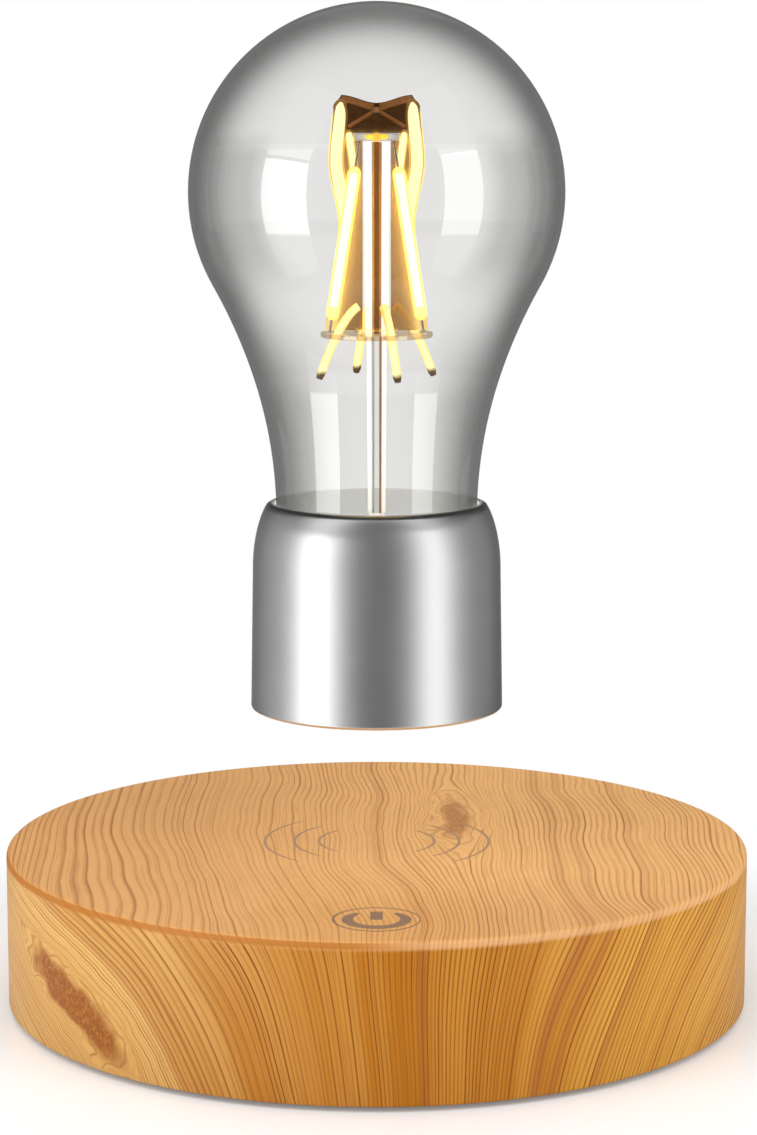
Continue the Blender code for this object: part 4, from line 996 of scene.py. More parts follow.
def spin(shape: bmesh.types.BMesh, profile: Profile, steps: int, closed: bool) -> None:
    """Turn a profile of (radius, height) points about the vertical axis.

    Args:
        shape: The mesh that the turned surface goes into.
        profile: The points; a radius of zero is a pole.
        steps: Facets round the axis.
        closed: True if the last point joins the first.
    """
    rings = []
    for radius, height in profile:
        if radius < TINY:
            rings.append([shape.verts.new((0, 0, height))])
            continue
        turns = [2 * math.pi * step / steps for step in range(steps)]
        rings.append(
            [shape.verts.new((math.cos(t) * radius, math.sin(t) * radius, height)) for t in turns]
        )
    following = rings[1:] + (rings[:1] if closed else [])
    for upper, lower in zip(rings, following):
        for step in range(steps):
            ahead = step + 1
            corners = [
                upper[step % len(upper)],
                lower[step % len(lower)],
                lower[ahead % len(lower)],
                upper[ahead % len(upper)],
            ]
            unique = list(dict.fromkeys(corners))
            if len(unique) > 2:
                shape.faces.new(unique)


def lathe(name: str, profile: Profile, steps: int, closed: bool = False) -> bpy.types.Mesh:
    """Return a turned mesh."""
    shape = bmesh.new()
    spin(shape, profile, steps, closed)
    return finished(shape, name)


def disc(
    name: str, radius: float, low: float, high: float, edge: float, steps: int
) -> bpy.types.Mesh:
    """Return a round plate between two heights, with rounded edges."""
    points = [(0.0, high), (radius, high), (radius, low), (0.0, low)]
    return lathe(name, rounded(points, {1: edge, 2: edge}, 4), steps)


def sweep(
    shape: bmesh.types.BMesh, path: Sequence[Vector], radii: Sequence[float], sides: int = 12
) -> None:
    """Run a round section along a path, closed at both ends.

    Args:
        shape: The mesh that the rod goes into.
        path: The points of its middle line.
        radii: Its radius at each point.
        sides: Facets round it.
    """
    count = len(path)
    side: Vector | None = None
    rings = []
    for index, point in enumerate(path):
        ahead = path[min(index + 1, count - 1)] - path[max(index - 1, 0)]
        ahead.normalize()
        side = side - ahead * side.dot(ahead) if side else ahead.orthogonal()
        side.normalize()
        other = ahead.cross(side)
        ring = []
        for step in range(sides):
            turn = 2 * math.pi * step / sides
            offset = side * math.cos(turn) + other * math.sin(turn)
            ring.append(shape.verts.new(point + offset * radii[index]))
        rings.append(ring)
    for near, far in zip(rings, rings[1:]):
        for step in range(sides):
            ahead_step = (step + 1) % sides
            shape.faces.new([near[step], near[ahead_step], far[ahead_step], far[step]])
    shape.faces.new(rings[0])
    shape.faces.new(rings[-1])


def capsule(start: Vector, end: Vector, radius: float) -> tuple[list[Vector], list[float]]:
    """Return the path and radii of a rod with round ends, for sweep."""
    along = (end - start).normalized()
    length = (end - start).length
    turns = [math.radians(angle) for angle in CAP_ANGLES]
    path = [start + along * radius * (1 - math.cos(turn)) for turn in turns]
    radii = [radius * math.sin(turn) for turn in turns]
    for share in (0.25, 0.5, 0.75):
        path.append(start + along * length * share)
        radii.append(radius)
    path += [end - along * radius * (1 - math.cos(turn)) for turn in reversed(turns)]
    radii += [radius * math.sin(turn) for turn in reversed(turns)]
    return path, radii


def rods(
    name: str, ends: Sequence[tuple[Vector, Vector]], radius: float, sides: int, sharp: float = 60.0
) -> bpy.types.Mesh:
    """Return rods with round ends as one mesh.

    Args:
        name: The mesh's name.
        ends: The two ends of each rod.
        radius: The rods' radius.
        sides: Facets round a rod.
        sharp: The angle in degrees up to which it is shaded smooth.

    Returns:
        The mesh.
    """
    shape = bmesh.new()
    for start, end in ends:
        path, radii = capsule(start, end, radius)
        sweep(shape, path, radii, sides)
    return finished(shape, name, sharp)


def around(angle: float, radius: float, height: float = 0.0) -> Vector:
    """Return the place at an angle in degrees and a radius round the vertical axis."""
    turn = math.radians(angle)
    return Vector((math.cos(turn) * radius, math.sin(turn) * radius, height))


def solid(
    name: str, centre: Vector, size: Vector, turn: float = 0.0, edge: float = 0.0
) -> bpy.types.Object:
    """Return a block as an object, for a Boolean.

    Args:
        name: Its name.
        centre: Its middle.
        size: Its sizes before it turns.
        turn: Its turn about the vertical axis in degrees.
        edge: The rounding of its edges.

    Returns:
        The object, linked to the scene.
    """
    shape = bmesh.new()
    bmesh.ops.create_cube(shape, size=1.0)
    bmesh.ops.scale(shape, vec=size, verts=shape.verts)
    if edge:
        bmesh.ops.bevel(
            shape, geom=shape.edges[:], offset=edge, segments=3, profile=0.5, affect="EDGES"
        )
    place = Matrix.Translation(centre) @ Matrix.Rotation(math.radians(turn), 4, "Z")
    bmesh.ops.transform(shape, matrix=place, verts=shape.verts)
    return linked(name, finished(shape, name))


def pin(name: str, foot: Vector, head: Vector, radius: float, sides: int = 32) -> bpy.types.Object:
    """Return a round pin as an object, for a Boolean."""
    shape = bmesh.new()
    sweep(shape, [foot, head], [radius, radius], sides)
    return linked(name, finished(shape, name))


def taken(thing: bpy.types.Object, name: str) -> bpy.types.Mesh:
    """Return a copy of an object's mesh under a new name; the object is used up."""
    mesh = thing.data.copy()
    bpy.data.objects.remove(thing, do_unlink=True)
    mesh.name = name
    return mesh


def carved(
    mesh: bpy.types.Mesh,
    joined: Sequence[bpy.types.Object] = (),
    cut: Sequence[bpy.types.Object] = (),
) -> bpy.types.Mesh:
    """Return a mesh with solids joined to it and others cut out of it.

    Args:
        mesh: The mesh to start from.
        joined: Solids that become one with it.
        cut: Solids that leave a hole in it.

    Returns:
        The new mesh; the solids are used up.
    """
    host = linked(mesh.name, mesh)
    for operation, others in (("UNION", joined), ("DIFFERENCE", cut)):
        for other in others:
            change = host.modifiers.new(other.name, "BOOLEAN")
            change.operation = operation
            change.solver = "EXACT"
            change.object = other
    graph = bpy.context.evaluated_depsgraph_get()
    made = bpy.data.meshes.new_from_object(host.evaluated_get(graph))
    made.name = mesh.name
    for other in (host, *joined, *cut):
        bpy.data.objects.remove(other, do_unlink=True)
    made.set_sharp_from_angle(angle=math.radians(SHARP))
    return made


def add_piece(
    name: str, mesh: bpy.types.Mesh, finish: Finish, body: Body, replaced: Sequence[str] = ()
) -> bpy.types.Object:
    """Add a finished piece to the scene.

    Args:
        name: The piece's name.
        mesh: Its mesh, already in place.
        finish: Its look.
        body: The body that it rides on.
        replaced: The CAD nodes that it stands for.

    Returns:
        The piece.
    """
    mesh.materials.clear()
    mesh.materials.append(finish.material())
    made = linked(name, mesh)
    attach(made, body.value)
    if replaced:
        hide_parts(*replaced)
    LOG.info("%s: %d faces on %s", name, len(mesh.polygons), body.value)
    return made


def dress(finish: Finish, *nodes: str) -> None:
    """Give CAD nodes that stay in view a finish."""
    for node in nodes:
        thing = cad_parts[node]
        for slot in thing.material_slots:
            slot.material = finish.material()
        LOG.info("%s: CAD node in %s", node, finish.name)


# Geometry Nodes


class Recipe:
    """A Geometry Nodes tree with named inputs that is run and turned into a plain mesh."""

    def __init__(self, name: str, inputs: dict[str, object]) -> None:
        """Start a tree.

        Args:
            name: The tree's name.
            inputs: Its named inputs with the values that they start from.
        """
        self.tree = bpy.data.node_groups.new(name, "GeometryNodeTree")
        interface = self.tree.interface
        interface.new_socket("Outline", in_out="INPUT", socket_type="NodeSocketGeometry")
        self.keys: dict[str, str] = {}
        kinds = {int: "NodeSocketInt", float: "NodeSocketFloat", Vector: "NodeSocketVector"}
        for label, value in inputs.items():
            socket = interface.new_socket(label, in_out="INPUT", socket_type=kinds[type(value)])
            socket.default_value = value
            self.keys[label] = socket.identifier
        finish = interface.new_socket("Material", in_out="INPUT", socket_type="NodeSocketMaterial")
        self.keys["Material"] = finish.identifier
        interface.new_socket("Geometry", in_out="OUTPUT", socket_type="NodeSocketGeometry")
        self.start = self.tree.nodes.new("NodeGroupInput")

    def given(self, label: str) -> Socket:
        """Return the output that carries a named input."""
        return self.start.outputs[label]

    def add(self, kind: str, sockets: dict, output: int | str = 0, **settings: object) -> Socket:
        """Add a node.

        Args:
            kind: The node's type name.
            sockets: Its inputs by name or number: an output, a list of outputs or a constant.
            output: The output to return.
            **settings: The node's own properties.

        Returns:
            The chosen output.
        """
        made = self.tree.nodes.new(kind)
        for name, value in settings.items():
            setattr(made, name, value)
        for name, value in sockets.items():
            for source in value if isinstance(value, list) else [value]:
                if isinstance(source, Socket):
                    self.tree.links.new(source, made.inputs[name])
                else:
                    made.inputs[name].default_value = source
        return made.outputs[output]

    def maths(self, operation: str, first: object, second: object) -> Socket:
        """Return the result of one arithmetic step."""
        return self.add("ShaderNodeMath", {0: first, 1: second}, operation=operation)

    def moved(self, geometry: Socket, place: object) -> Socket:
        """Return geometry moved by a vector."""
        return self.add("GeometryNodeTransform", {"Geometry": geometry, "Translation": place})

    def turned(self, geometry: Socket, angle: float) -> Socket:
        """Return geometry turned about the vertical axis by an angle in degrees."""
        sockets = {"Geometry": geometry, "Rotation": (0, 0, math.radians(angle))}
        return self.add("GeometryNodeTransform", sockets)

    def together(self, parts: list[Socket]) -> Socket:
        """Return several parts as one."""
        return self.add("GeometryNodeJoinGeometry", {"Geometry": parts})

    def repeated(self, points: Socket, part: Socket, **more: object) -> Socket:
        """Return a part stood on each point."""
        sockets = {"Points": points, "Instance": part, **more}
        return self.add("GeometryNodeInstanceOnPoints", sockets)

    def boolean(self, operation: str, **meshes: object) -> Socket:
        """Return the result of an exact Boolean; an input's name has _ for its space."""
        sockets = {name.replace("_", " "): value for name, value in meshes.items()}
        kind = "GeometryNodeMeshBoolean"
        return self.add(kind, sockets, operation=operation, solver="EXACT")

    def upward(self, height: object) -> Socket:
        """Return a vector that points straight up with the given length."""
        return self.add("ShaderNodeCombineXYZ", {2: height})

    def circle(self, radius: object, sides: int) -> Socket:
        """Return a round section."""
        sockets = {"Resolution": sides, "Radius": radius}
        return self.add("GeometryNodeCurvePrimitiveCircle", sockets)

    def cylinder(self, radius: object, depth: object, sides: int) -> Socket:
        """Return an upright cylinder that stands on the origin."""
        sockets = {"Vertices": sides, "Radius": radius, "Depth": depth}
        made = self.add("GeometryNodeMeshCylinder", sockets)
        return self.moved(made, self.upward(self.maths("MULTIPLY", depth, 0.5)))

    def taper(self, power: float, amount: float) -> Socket:
        """Return a scale along a line: 1 in its middle, and so much less at its ends."""
        along = self.add("GeometryNodeSplineParameter", {}, "Factor")
        middle = self.maths("SUBTRACT", self.maths("MULTIPLY", along, 2.0), 1.0)
        ends = self.maths("POWER", self.maths("ABSOLUTE", middle, 0.0), power)
        return self.maths("SUBTRACT", 1.0, self.maths("MULTIPLY", ends, amount))

    def swept(self, line: Socket, section: Socket, scale: object = 1.0) -> Socket:
        """Return a section run along a line, closed at its ends."""
        sockets = {"Curve": line, "Profile Curve": section, "Scale": scale, "Fill Caps": True}
        return self.add("GeometryNodeCurveToMesh", sockets)

    def finish(self, geometry: Socket) -> None:
        """End the tree: real geometry in the given material."""
        real = self.add("GeometryNodeRealizeInstances", {"Geometry": geometry})
        sockets = {"Geometry": real, "Material": self.given("Material")}
        painted = self.add("GeometryNodeSetMaterial", sockets)
        end = self.tree.nodes.new("NodeGroupOutput")
        self.tree.links.new(painted, end.inputs["Geometry"])

    def bake(
        self, name: str, finish: Finish, values: dict[str, object], outline: object = None
    ) -> bpy.types.Mesh:
        """Run the tree and return its result as a plain mesh.

        Args:
            name: The mesh's name.
            finish: The material input.
            values: The other inputs by name; one left out keeps its start value.
            outline: A mesh of edges that the tree works along, if it needs one.

        Returns:
            The mesh.
        """
        host = linked(name, outline or bpy.data.meshes.new(f"{name}_host"))
        modifier = host.modifiers.new("recipe", "NODES")
        modifier.node_group = self.tree
        modifier[self.keys["Material"]] = finish.material()
        for label, value in values.items():
            modifier[self.keys[label]] = value
        graph = bpy.context.evaluated_depsgraph_get()
        made = bpy.data.meshes.new_from_object(host.evaluated_get(graph))
        host.modifiers.remove(modifier)
        bpy.data.objects.remove(host, do_unlink=True)
        shape = bmesh.new()
        shape.from_mesh(made)
        bmesh.ops.remove_doubles(shape, verts=shape.verts, dist=TINY)
        bpy.data.meshes.remove(made)
        return finished(shape, name)


# The base


@dataclass
class Housing:
    """Wood-look housing of the base, moulded in one with its screw bosses."""

    radius: float = 0.0625
    wall: float = 0.003
    plate: float = 0.002
    edge: float = 0.001
    chamfer: float = 0.0004
    rebate: float = 0.0012
    cover_room: float = 0.0023  # height of the ledge over the cover's underside
    steps: int = 256
    boss_radius: float = 0.0035
    boss_circle: float = 0.0540
    gusset: float = 0.0016
    pilot: float = 0.0015
    pilot_depth: float = 0.010
    jack_hole: float = 0.0043

    def profile(self, low: float, high: float, ledge: float) -> Profile:
        """Return the housing's section, from the middle of its top round to its ceiling."""
        inner = self.radius - self.wall
        ceiling = high - self.plate
        points = [
            (0.0, high),
            (self.radius * 0.5, high),
            (self.radius, high),
            (self.radius, low),
            (inner + self.rebate, low),
            (inner + self.rebate, ledge),
            (inner, ledge),
            (inner, ceiling),
            (0.0, ceiling),
        ]
        corners = {2: self.edge, 3: self.chamfer, 7: self.edge}
        return rounded(points, corners, 7)

    def build(self) -> None:
        """Build the housing with its bosses, gussets, pilot holes and jack opening."""
        low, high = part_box("base_shell")
        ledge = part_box("base_cover")[0].z + self.cover_room
        mesh = lathe("housing", self.profile(low.z, high.z, ledge), self.steps)
        ceiling = high.z - self.plate
        joined = []
        cut = []
        for index in range(4):
            angle = 45 + 90 * index
            foot = around(angle, self.boss_circle, ledge)
            head = around(angle, self.boss_circle, ceiling + self.plate / 2)
            joined.append(pin(f"boss_{index}", foot, head, self.boss_radius))
            reach = self.radius - self.wall / 2 - self.boss_circle
            middle = around(angle, self.boss_circle + reach / 2, (foot.z + head.z) / 2)
            size = Vector((reach, self.gusset, head.z - foot.z))
            joined.append(solid(f"gusset_{index}", middle, size, angle))
            below = foot - Vector((0, 0, OVER))
            above = foot + Vector((0, 0, self.pilot_depth))
            cut.append(pin(f"pilot_{index}", below, above, self.pilot, 20))
        jack_low, jack_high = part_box("dc_jack")
        height = (jack_low.z + jack_high.z) / 2
        outside = Vector((0, self.radius + OVER, height))
        inside = Vector((0, self.radius - self.wall - OVER, height))
        cut.append(pin("jack_hole", inside, outside, self.jack_hole, 48))
        mesh = carved(mesh, joined, cut)
        add_piece("wood_housing", mesh, WOOD, Body.BASE, ["base_shell"])


@dataclass
class PrintedMarks:
    """Charging arcs and power sign, printed on the top plate."""

    arcs: tuple[float, ...] = (0.0190, 0.0140, 0.0098)
    half_angle: float = 48.0
    stroke: float = 0.00046
    ink: float = 0.00004
    sign_y: float = -0.0497
    ring: float = 0.00672
    ring_stroke: float = 0.00038
    bow: float = 0.0045
    bow_stroke: float = 0.0018
    bow_open: float = 78.0  # degrees left open towards the back
    bar: Pair = (0.0019, 0.0046)
    bar_y: float = 0.0021  # the bar's middle, from the ring's
    steps: int = 64
    thin: Pair = (6.0, 0.6)  # how an arc thins towards its ends: power and amount

    def arc(
        self, recipe: Recipe, radius: object, start: float, sweep_angle: float, stroke: object
    ) -> Socket:
        """Add one flat arc that thins towards its ends.

        Args:
            recipe: The tree that it goes into.
            radius: Its radius.
            start: Where it starts, in degrees from +X.
            sweep_angle: How far it runs, in degrees.
            stroke: Its width in the middle.

        Returns:
            The arc's geometry.
        """
        line = recipe.add(
            "GeometryNodeCurveArc",
            {
                "Resolution": self.steps,
                "Radius": radius,
                "Start Angle": math.radians(start),
                "Sweep Angle": math.radians(sweep_angle),
            },
            mode="RADIUS",
        )
        section = recipe.add(
            "GeometryNodeCurvePrimitiveQuadrilateral",
            {"Width": stroke, "Height": recipe.given("Ink")},
            mode="RECTANGLE",
        )
        return recipe.swept(line, section, recipe.taper(*self.thin))

    def charging_arcs(self, height: float) -> bpy.types.Mesh:
        """Return the three arcs on the left and the same three turned round on the right."""
        inputs = {f"Radius {index}": radius for index, radius in enumerate(self.arcs, 1)}
        inputs |= {"Stroke": self.stroke, "Ink": self.ink, "Height": height}
        recipe = Recipe("charging_arcs", inputs)
        left = [
            self.arc(
                recipe,
                recipe.given(f"Radius {index}"),
                180 - self.half_angle,
                2 * self.half_angle,
                recipe.given("Stroke"),
            )
            for index in range(1, len(self.arcs) + 1)
        ]
        half = recipe.together(left)
        both = recipe.together([half, recipe.turned(half, 180)])
        recipe.finish(recipe.moved(both, recipe.upward(recipe.given("Height"))))
        return recipe.bake("charging_arcs", FAINT_INK, {})

    def power_sign(self, height: float) -> bpy.types.Mesh:
        """Return the ring, the open bow and the bar of the touch sign."""
        inputs = {
            "Ring Radius": self.ring,
            "Ring Stroke": self.ring_stroke,
            "Bow Radius": self.bow,
            "Bow Stroke": self.bow_stroke,
            "Ink": self.ink,
            "Place": Vector((0, self.sign_y, height)),
            "Bar Size": Vector((self.bar[0], self.bar[1], self.ink)),
        }
        recipe = Recipe("power_sign", inputs)
        ring = self.arc(recipe, recipe.given("Ring Radius"), 0, 359.9, recipe.given("Ring Stroke"))
        bow = self.arc(
            recipe,
            recipe.given("Bow Radius"),
            90 + self.bow_open / 2,
            360 - self.bow_open,
            recipe.given("Bow Stroke"),
        )
        block = recipe.add("GeometryNodeMeshCube", {"Size": recipe.given("Bar Size")})
        bar = recipe.moved(block, (0, self.bar_y, 0))
        joined = recipe.together([ring, bow, bar])
        recipe.finish(recipe.moved(joined, recipe.given("Place")))
        return recipe.bake("power_sign", INK, {})

    def build(self) -> None:
        """Print both marks on the top."""
        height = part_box("base_shell")[1].z + self.ink / 4
        add_piece("charging_arcs", self.charging_arcs(height), FAINT_INK, Body.BASE)
        add_piece("power_sign", self.power_sign(height), INK, Body.BASE)


@dataclass
class Underside:
    """Bottom cover, rubber feet and the cover's screws."""

    circle: float = 0.0540
    head: float = 0.0026
    head_height: float = 0.0008
    shank: float = 0.0012
    point: float = 0.0001  # radius of the screw's tip
    recess: float = 0.0006
    blade: float = 0.0005

    def screws(self) -> bpy.types.Mesh:
        """Return the four cross-recess screws, each one point of a ring of four."""
        low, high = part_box("cover_screw_1")
        length = high.z - low.z
        recipe = Recipe(
            "cover_screws",
            {
                "Circle": self.circle,
                "Head Radius": self.head,
                "Head Height": self.head_height,
                "Shank Radius": self.shank,
                "Length": length,
                "Recess": self.recess,
                "Blade": self.blade,
                "Face": low.z,
            },
        )
        given = recipe.given
        head = recipe.cylinder(given("Head Radius"), given("Head Height"), 40)
        body = recipe.maths("SUBTRACT", given("Length"), given("Shank Radius"))
        rod = recipe.cylinder(given("Shank Radius"), body, 24)
        tip = recipe.add(
            "GeometryNodeMeshCone",
            {
                "Vertices": 24,
                "Radius Top": self.point,
                "Radius Bottom": given("Shank Radius"),
                "Depth": given("Shank Radius"),
            },
        )
        tip = recipe.moved(tip, recipe.upward(body))
        blank = recipe.boolean("UNION", Mesh_2=[head, rod, tip])
        slots = []
        width = recipe.maths("MULTIPLY", given("Head Radius"), 1.1)
        deep = recipe.maths("MULTIPLY", given("Recess"), 2.0)
        for sizes in ((width, given("Blade")), (given("Blade"), width)):
            sockets = {0: sizes[0], 1: sizes[1], 2: deep}
            size = recipe.add("ShaderNodeCombineXYZ", sockets)
            slots.append(recipe.add("GeometryNodeMeshCube", {"Size": size}))
        screw = recipe.boolean("DIFFERENCE", Mesh_1=blank, Mesh_2=slots)
        ring = recipe.add("GeometryNodeMeshCircle", {"Vertices": 4, "Radius": given("Circle")})
        corners = recipe.moved(recipe.turned(ring, 45), recipe.upward(given("Face")))
        recipe.finish(recipe.repeated(corners, screw))
        return recipe.bake("cover_screws", STEEL, {})

    def build(self) -> None:
        """Build the screws, and dress the cover and the feet."""
        nodes = [f"cover_screw_{index}" for index in range(1, 5)]
        add_piece("cover_screws", self.screws(), STEEL, Body.BASE, nodes)
        dress(COVER, "base_cover")
        dress(RUBBER, *(f"rubber_foot_{index}" for index in range(1, 5)))


@dataclass
class PowerInlet:
    """DC jack at the back: its moulded body and its centre pin."""

    nose: float = 0.004
    bore: float = 0.0032
    bore_depth: float = 0.0095
    pin_radius: float = 0.001
    pin_short: float = 0.001
    room: float = 0.0595  # radius inside the housing's wall
    room_gap: float = 0.0003
    edge: float = 0.0004

    def build(self) -> None:
        """Build the jack's body with its bore, and the nickel pin inside."""
        low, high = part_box("dc_jack")
        height = (low.z + high.z) / 2
        mouth = high.y
        shoulder = math.sqrt(self.room**2 - high.x**2) - self.room_gap
        middle = Vector((0, (low.y + shoulder) / 2, height))
        size = Vector((high.x - low.x, shoulder - low.y, high.z - low.z))
        mesh = taken(solid("jack_block", middle, size, 0, self.edge), "jack_body")
        front = Vector((0, mouth, height))
        nose = pin("jack_nose", Vector((0, shoulder - OVER, height)), front, self.nose, 64)
        floor = Vector((0, mouth - self.bore_depth, height))
        bore = pin("jack_bore", floor, front + Vector((0, OVER, 0)), self.bore, 64)
        add_piece("jack_body", carved(mesh, [nose], [bore]), BLACK, Body.BASE, ["dc_jack"])
        tip = front - Vector((0, self.pin_short, 0))
        mesh = rods("jack_pin", [(floor, tip)], self.pin_radius, 24, 50)
        add_piece("jack_pin", mesh, NICKEL, Body.BASE)


@dataclass
class BaseWorks:
    """What works inside the base: wound coils and the dressed boards, magnets and parts."""

    coils: int = 4
    flange: float = 0.0008
    flange_reach: float = 0.0007  # how far a flange stands out past the wire
    core_hole: float = 0.0033
    transmitter_hole: float = 0.009
    wire: float = 0.00024

    def stacked_winding(self) -> Recipe:
        """Return the tree of a spool: two flanges, a barrel and rows of wire round it."""
        recipe = Recipe(
            "stacked_winding",
            {
                "Wound": 0.0055,
                "Flange": self.flange,
                "Wire": self.wire,
                "Rows": 16,
                "Pitch": 0.0005,
                "Place": Vector((0, 0, 0)),
            },
        )
        given = recipe.given
        ring = recipe.circle(recipe.maths("SUBTRACT", given("Wound"), given("Wire")), 40)
        turn = recipe.swept(ring, recipe.circle(given("Wire"), 8))
        sockets = {
            "Count": given("Rows"),
            "Start Location": recipe.upward(recipe.maths("ADD", given("Flange"), given("Wire"))),
            "Offset": recipe.upward(given("Pitch")),
        }
        rows = recipe.add("GeometryNodeMeshLine", sockets)
        recipe.finish(recipe.moved(recipe.repeated(rows, turn), given("Place")))
        return recipe

    def levitation_coils(self) -> None:
        """Build the four wound spools: a moulded spool and its rows of wire."""
        recipe = self.stacked_winding()
        for index in range(1, self.coils + 1):
            node = f"levitation_coil_{index}"
            low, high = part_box(node)
            centre = (low + high) / 2
            outer = (high.x - low.x) / 2
            wound = outer - self.flange_reach
            barrel = wound - 2 * self.wire
            top = high.z - low.z
            profile = [
                (outer, top),
                (outer, top - self.flange),
                (barrel, top - self.flange),
                (barrel, self.flange),
                (outer, self.flange),
                (outer, 0.0),
                (self.core_hole, 0.0),
                (self.core_hole, top),
            ]
            mesh = lathe(f"{node}_spool", profile, 48, True)
            place = Vector((centre.x, centre.y, low.z))
            mesh.transform(Matrix.Translation(place))
            add_piece(f"{node}_spool", mesh, BLACK, Body.BASE, [node])
            room = top - 2 * self.flange
            rows = int(room / (2 * self.wire))
            values = {"Wound": wound, "Rows": rows, "Pitch": room / rows, "Place": place}
            wound_mesh = recipe.bake(f"{node}_wire", COPPER_COIL, values)
            add_piece(f"{node}_wire", wound_mesh, COPPER_COIL, Body.BASE)

    def build(self) -> None:
        """Build the coils and dress the rest."""
        self.levitation_coils()
        FlatCoil().build("transmitter_coil", self.transmitter_hole, Body.BASE)
        dress(BOARD, "main_board")
        dress(FERRITE, "ring_magnet", "power_inductor")
        dress(STEEL, *(f"coil_core_{index}" for index in range(1, self.coils + 1)))
        dress(BLACK, "hall_sensor_block", "driver_chip_1", "driver_chip_2")
        dress(COPPER_FOIL, "touch_electrode")
        dress(SPRING, "touch_spring")
        dress(SLEEVE, "capacitor_1", "capacitor_2")
        dress(ALUMINIUM, "heat_sink")


@dataclass
class FlatCoil:
    """A flat power coil: one spiral of stranded wire between two radii."""

    turns: int = 12

    def build(self, node: str, inner: float, body: Body) -> None:
        """Build the spiral in the place of a CAD node.

        Args:
            node: The CAD node that it stands for.
            inner: The radius of the hole in the middle.
            body: The body that it rides on.
        """
        low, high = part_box(node)
        outer = (high.x - low.x) / 2
        wire = min((outer - inner) / self.turns, high.z - low.z) / 2
        recipe = Recipe(
            f"{node}_spiral",
            {
                "Inner": inner + wire,
                "Outer": outer - wire,
                "Turns": float(self.turns - 1),
                "Wire": wire,
                "Height": (low.z + high.z) / 2,
            },
        )
        given = recipe.given
        line = recipe.add(
            "GeometryNodeCurveSpiral",
            {
                "Resolution": 48,
                "Rotations": given("Turns"),
                "Start Radius": given("Inner"),
                "End Radius": given("Outer"),
                "Height": 0.0,
            },
        )
        spiral = recipe.swept(line, recipe.circle(given("Wire"), 10))
        recipe.finish(recipe.moved(spiral, recipe.upward(given("Height"))))
        mesh = recipe.bake(f"{node}_wire", COPPER_SPIRAL, {})
        add_piece(f"{node}_wire", mesh, COPPER_SPIRAL, body, [node])


# The bulb


@dataclass
class Collar:
    """Silver collar under the glass, and what it holds."""

    wall: float = 0.0012
    neck: float = 0.0171
    top_radius: float = 0.0180
    side_radius: float = 0.02075
    foot_radius: float = 0.02115
    shoulder: float = 0.32  # share of the collar's height
    fullness: float = 0.75
    edge: float = 0.0004
    lip_depth: float = 0.0012
    far_lip: float = 0.004  # the lip is pale and glows with painted light behind this y
    receiver_hole: float = 0.005
    points: int = 22

    def radius(self, height: float, total: float) -> float:
        """Return the outer radius at a height above the collar's foot."""
        start = total * (1 - self.shoulder)
        if height <= start:
            fall = 1 - height / start
            return self.side_radius + (self.foot_radius - self.side_radius) * fall
        along = min(1.0, (height - start) / (total - start))
        width = self.side_radius - self.top_radius
        return self.top_radius + width * (1 - along**2) ** self.fullness

    def profile(self, total: float) -> Profile:
        """Return the collar's closed section, from the lip down its outside and back up."""
        start = total * (1 - self.shoulder)
        outer = []
        inner = []
        last = total - self.lip_depth
        for height in (self.edge * 1.6, self.edge * 3, start * 0.35, start * 0.65, start * 0.9):
            outer.append((self.radius(height, total), height))
        for index in range(self.points + 1):
            share = index / self.points
            height = start + (total - self.edge - start) * share
            outer.append((self.radius(height, total), height))
            height = start + (last - start) * share
            inner.append((self.radius(height, total) - self.wall, height))
        lip = [
            (self.neck, total - self.edge / 2),
            (self.neck + self.edge / 2, total),
            (self.top_radius - self.edge, total),
            (self.top_radius - self.edge * 0.3, total - self.edge * 0.3),
        ]
        foot = [
            (self.foot_radius, self.edge),
            (self.foot_radius - self.edge * 0.3, self.edge * 0.3),
            (self.foot_radius - self.edge, 0.0),
            (self.foot_radius - self.wall + self.edge / 2, 0.0),
            (self.foot_radius - self.wall, self.edge / 2),
        ]
        return [*lip, *reversed(outer), *foot, *inner, (self.neck, last)]

    def lined(self, point: Vector, total: float) -> float:
        """Return 1 for a point of the pale lining that glows with painted light: the inside and the
        far part of the lip.
        """
        if point.z >= total - self.edge / 4:
            return float(point.y > self.far_lip)
        outside = self.radius(point.z, total)
        return float(math.hypot(point.x, point.y) < outside - self.wall * 0.6)

    def build(self) -> None:
        """Build the collar, its receiver coil, and dress what it holds."""
        low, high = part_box("collar_shell")
        mesh = lathe("silver_collar", self.profile(high.z - low.z), 192, True)
        marks = [self.lined(point.co, high.z - low.z) for point in mesh.vertices]
        mark_points(mesh, "lining", marks)
        mesh.transform(Matrix.Translation((0, 0, low.z)))
        add_piece("silver_collar", mesh, SILVER, Body.BULB, ["collar_shell"])
        FlatCoil().build("receiver_coil", self.receiver_hole, Body.BULB)
        dress(BLACK, "collar_cap", "control_chip")
        dress(FERRITE, "ferrite_disc")
        dress(NICKEL, "lift_magnet")
        dress(HOLDER, "magnet_holder")
        dress(BOARD, "driver_board")
        dress(SLEEVE, "filter_capacitor")
        dress(SEAL, "neck_seal")


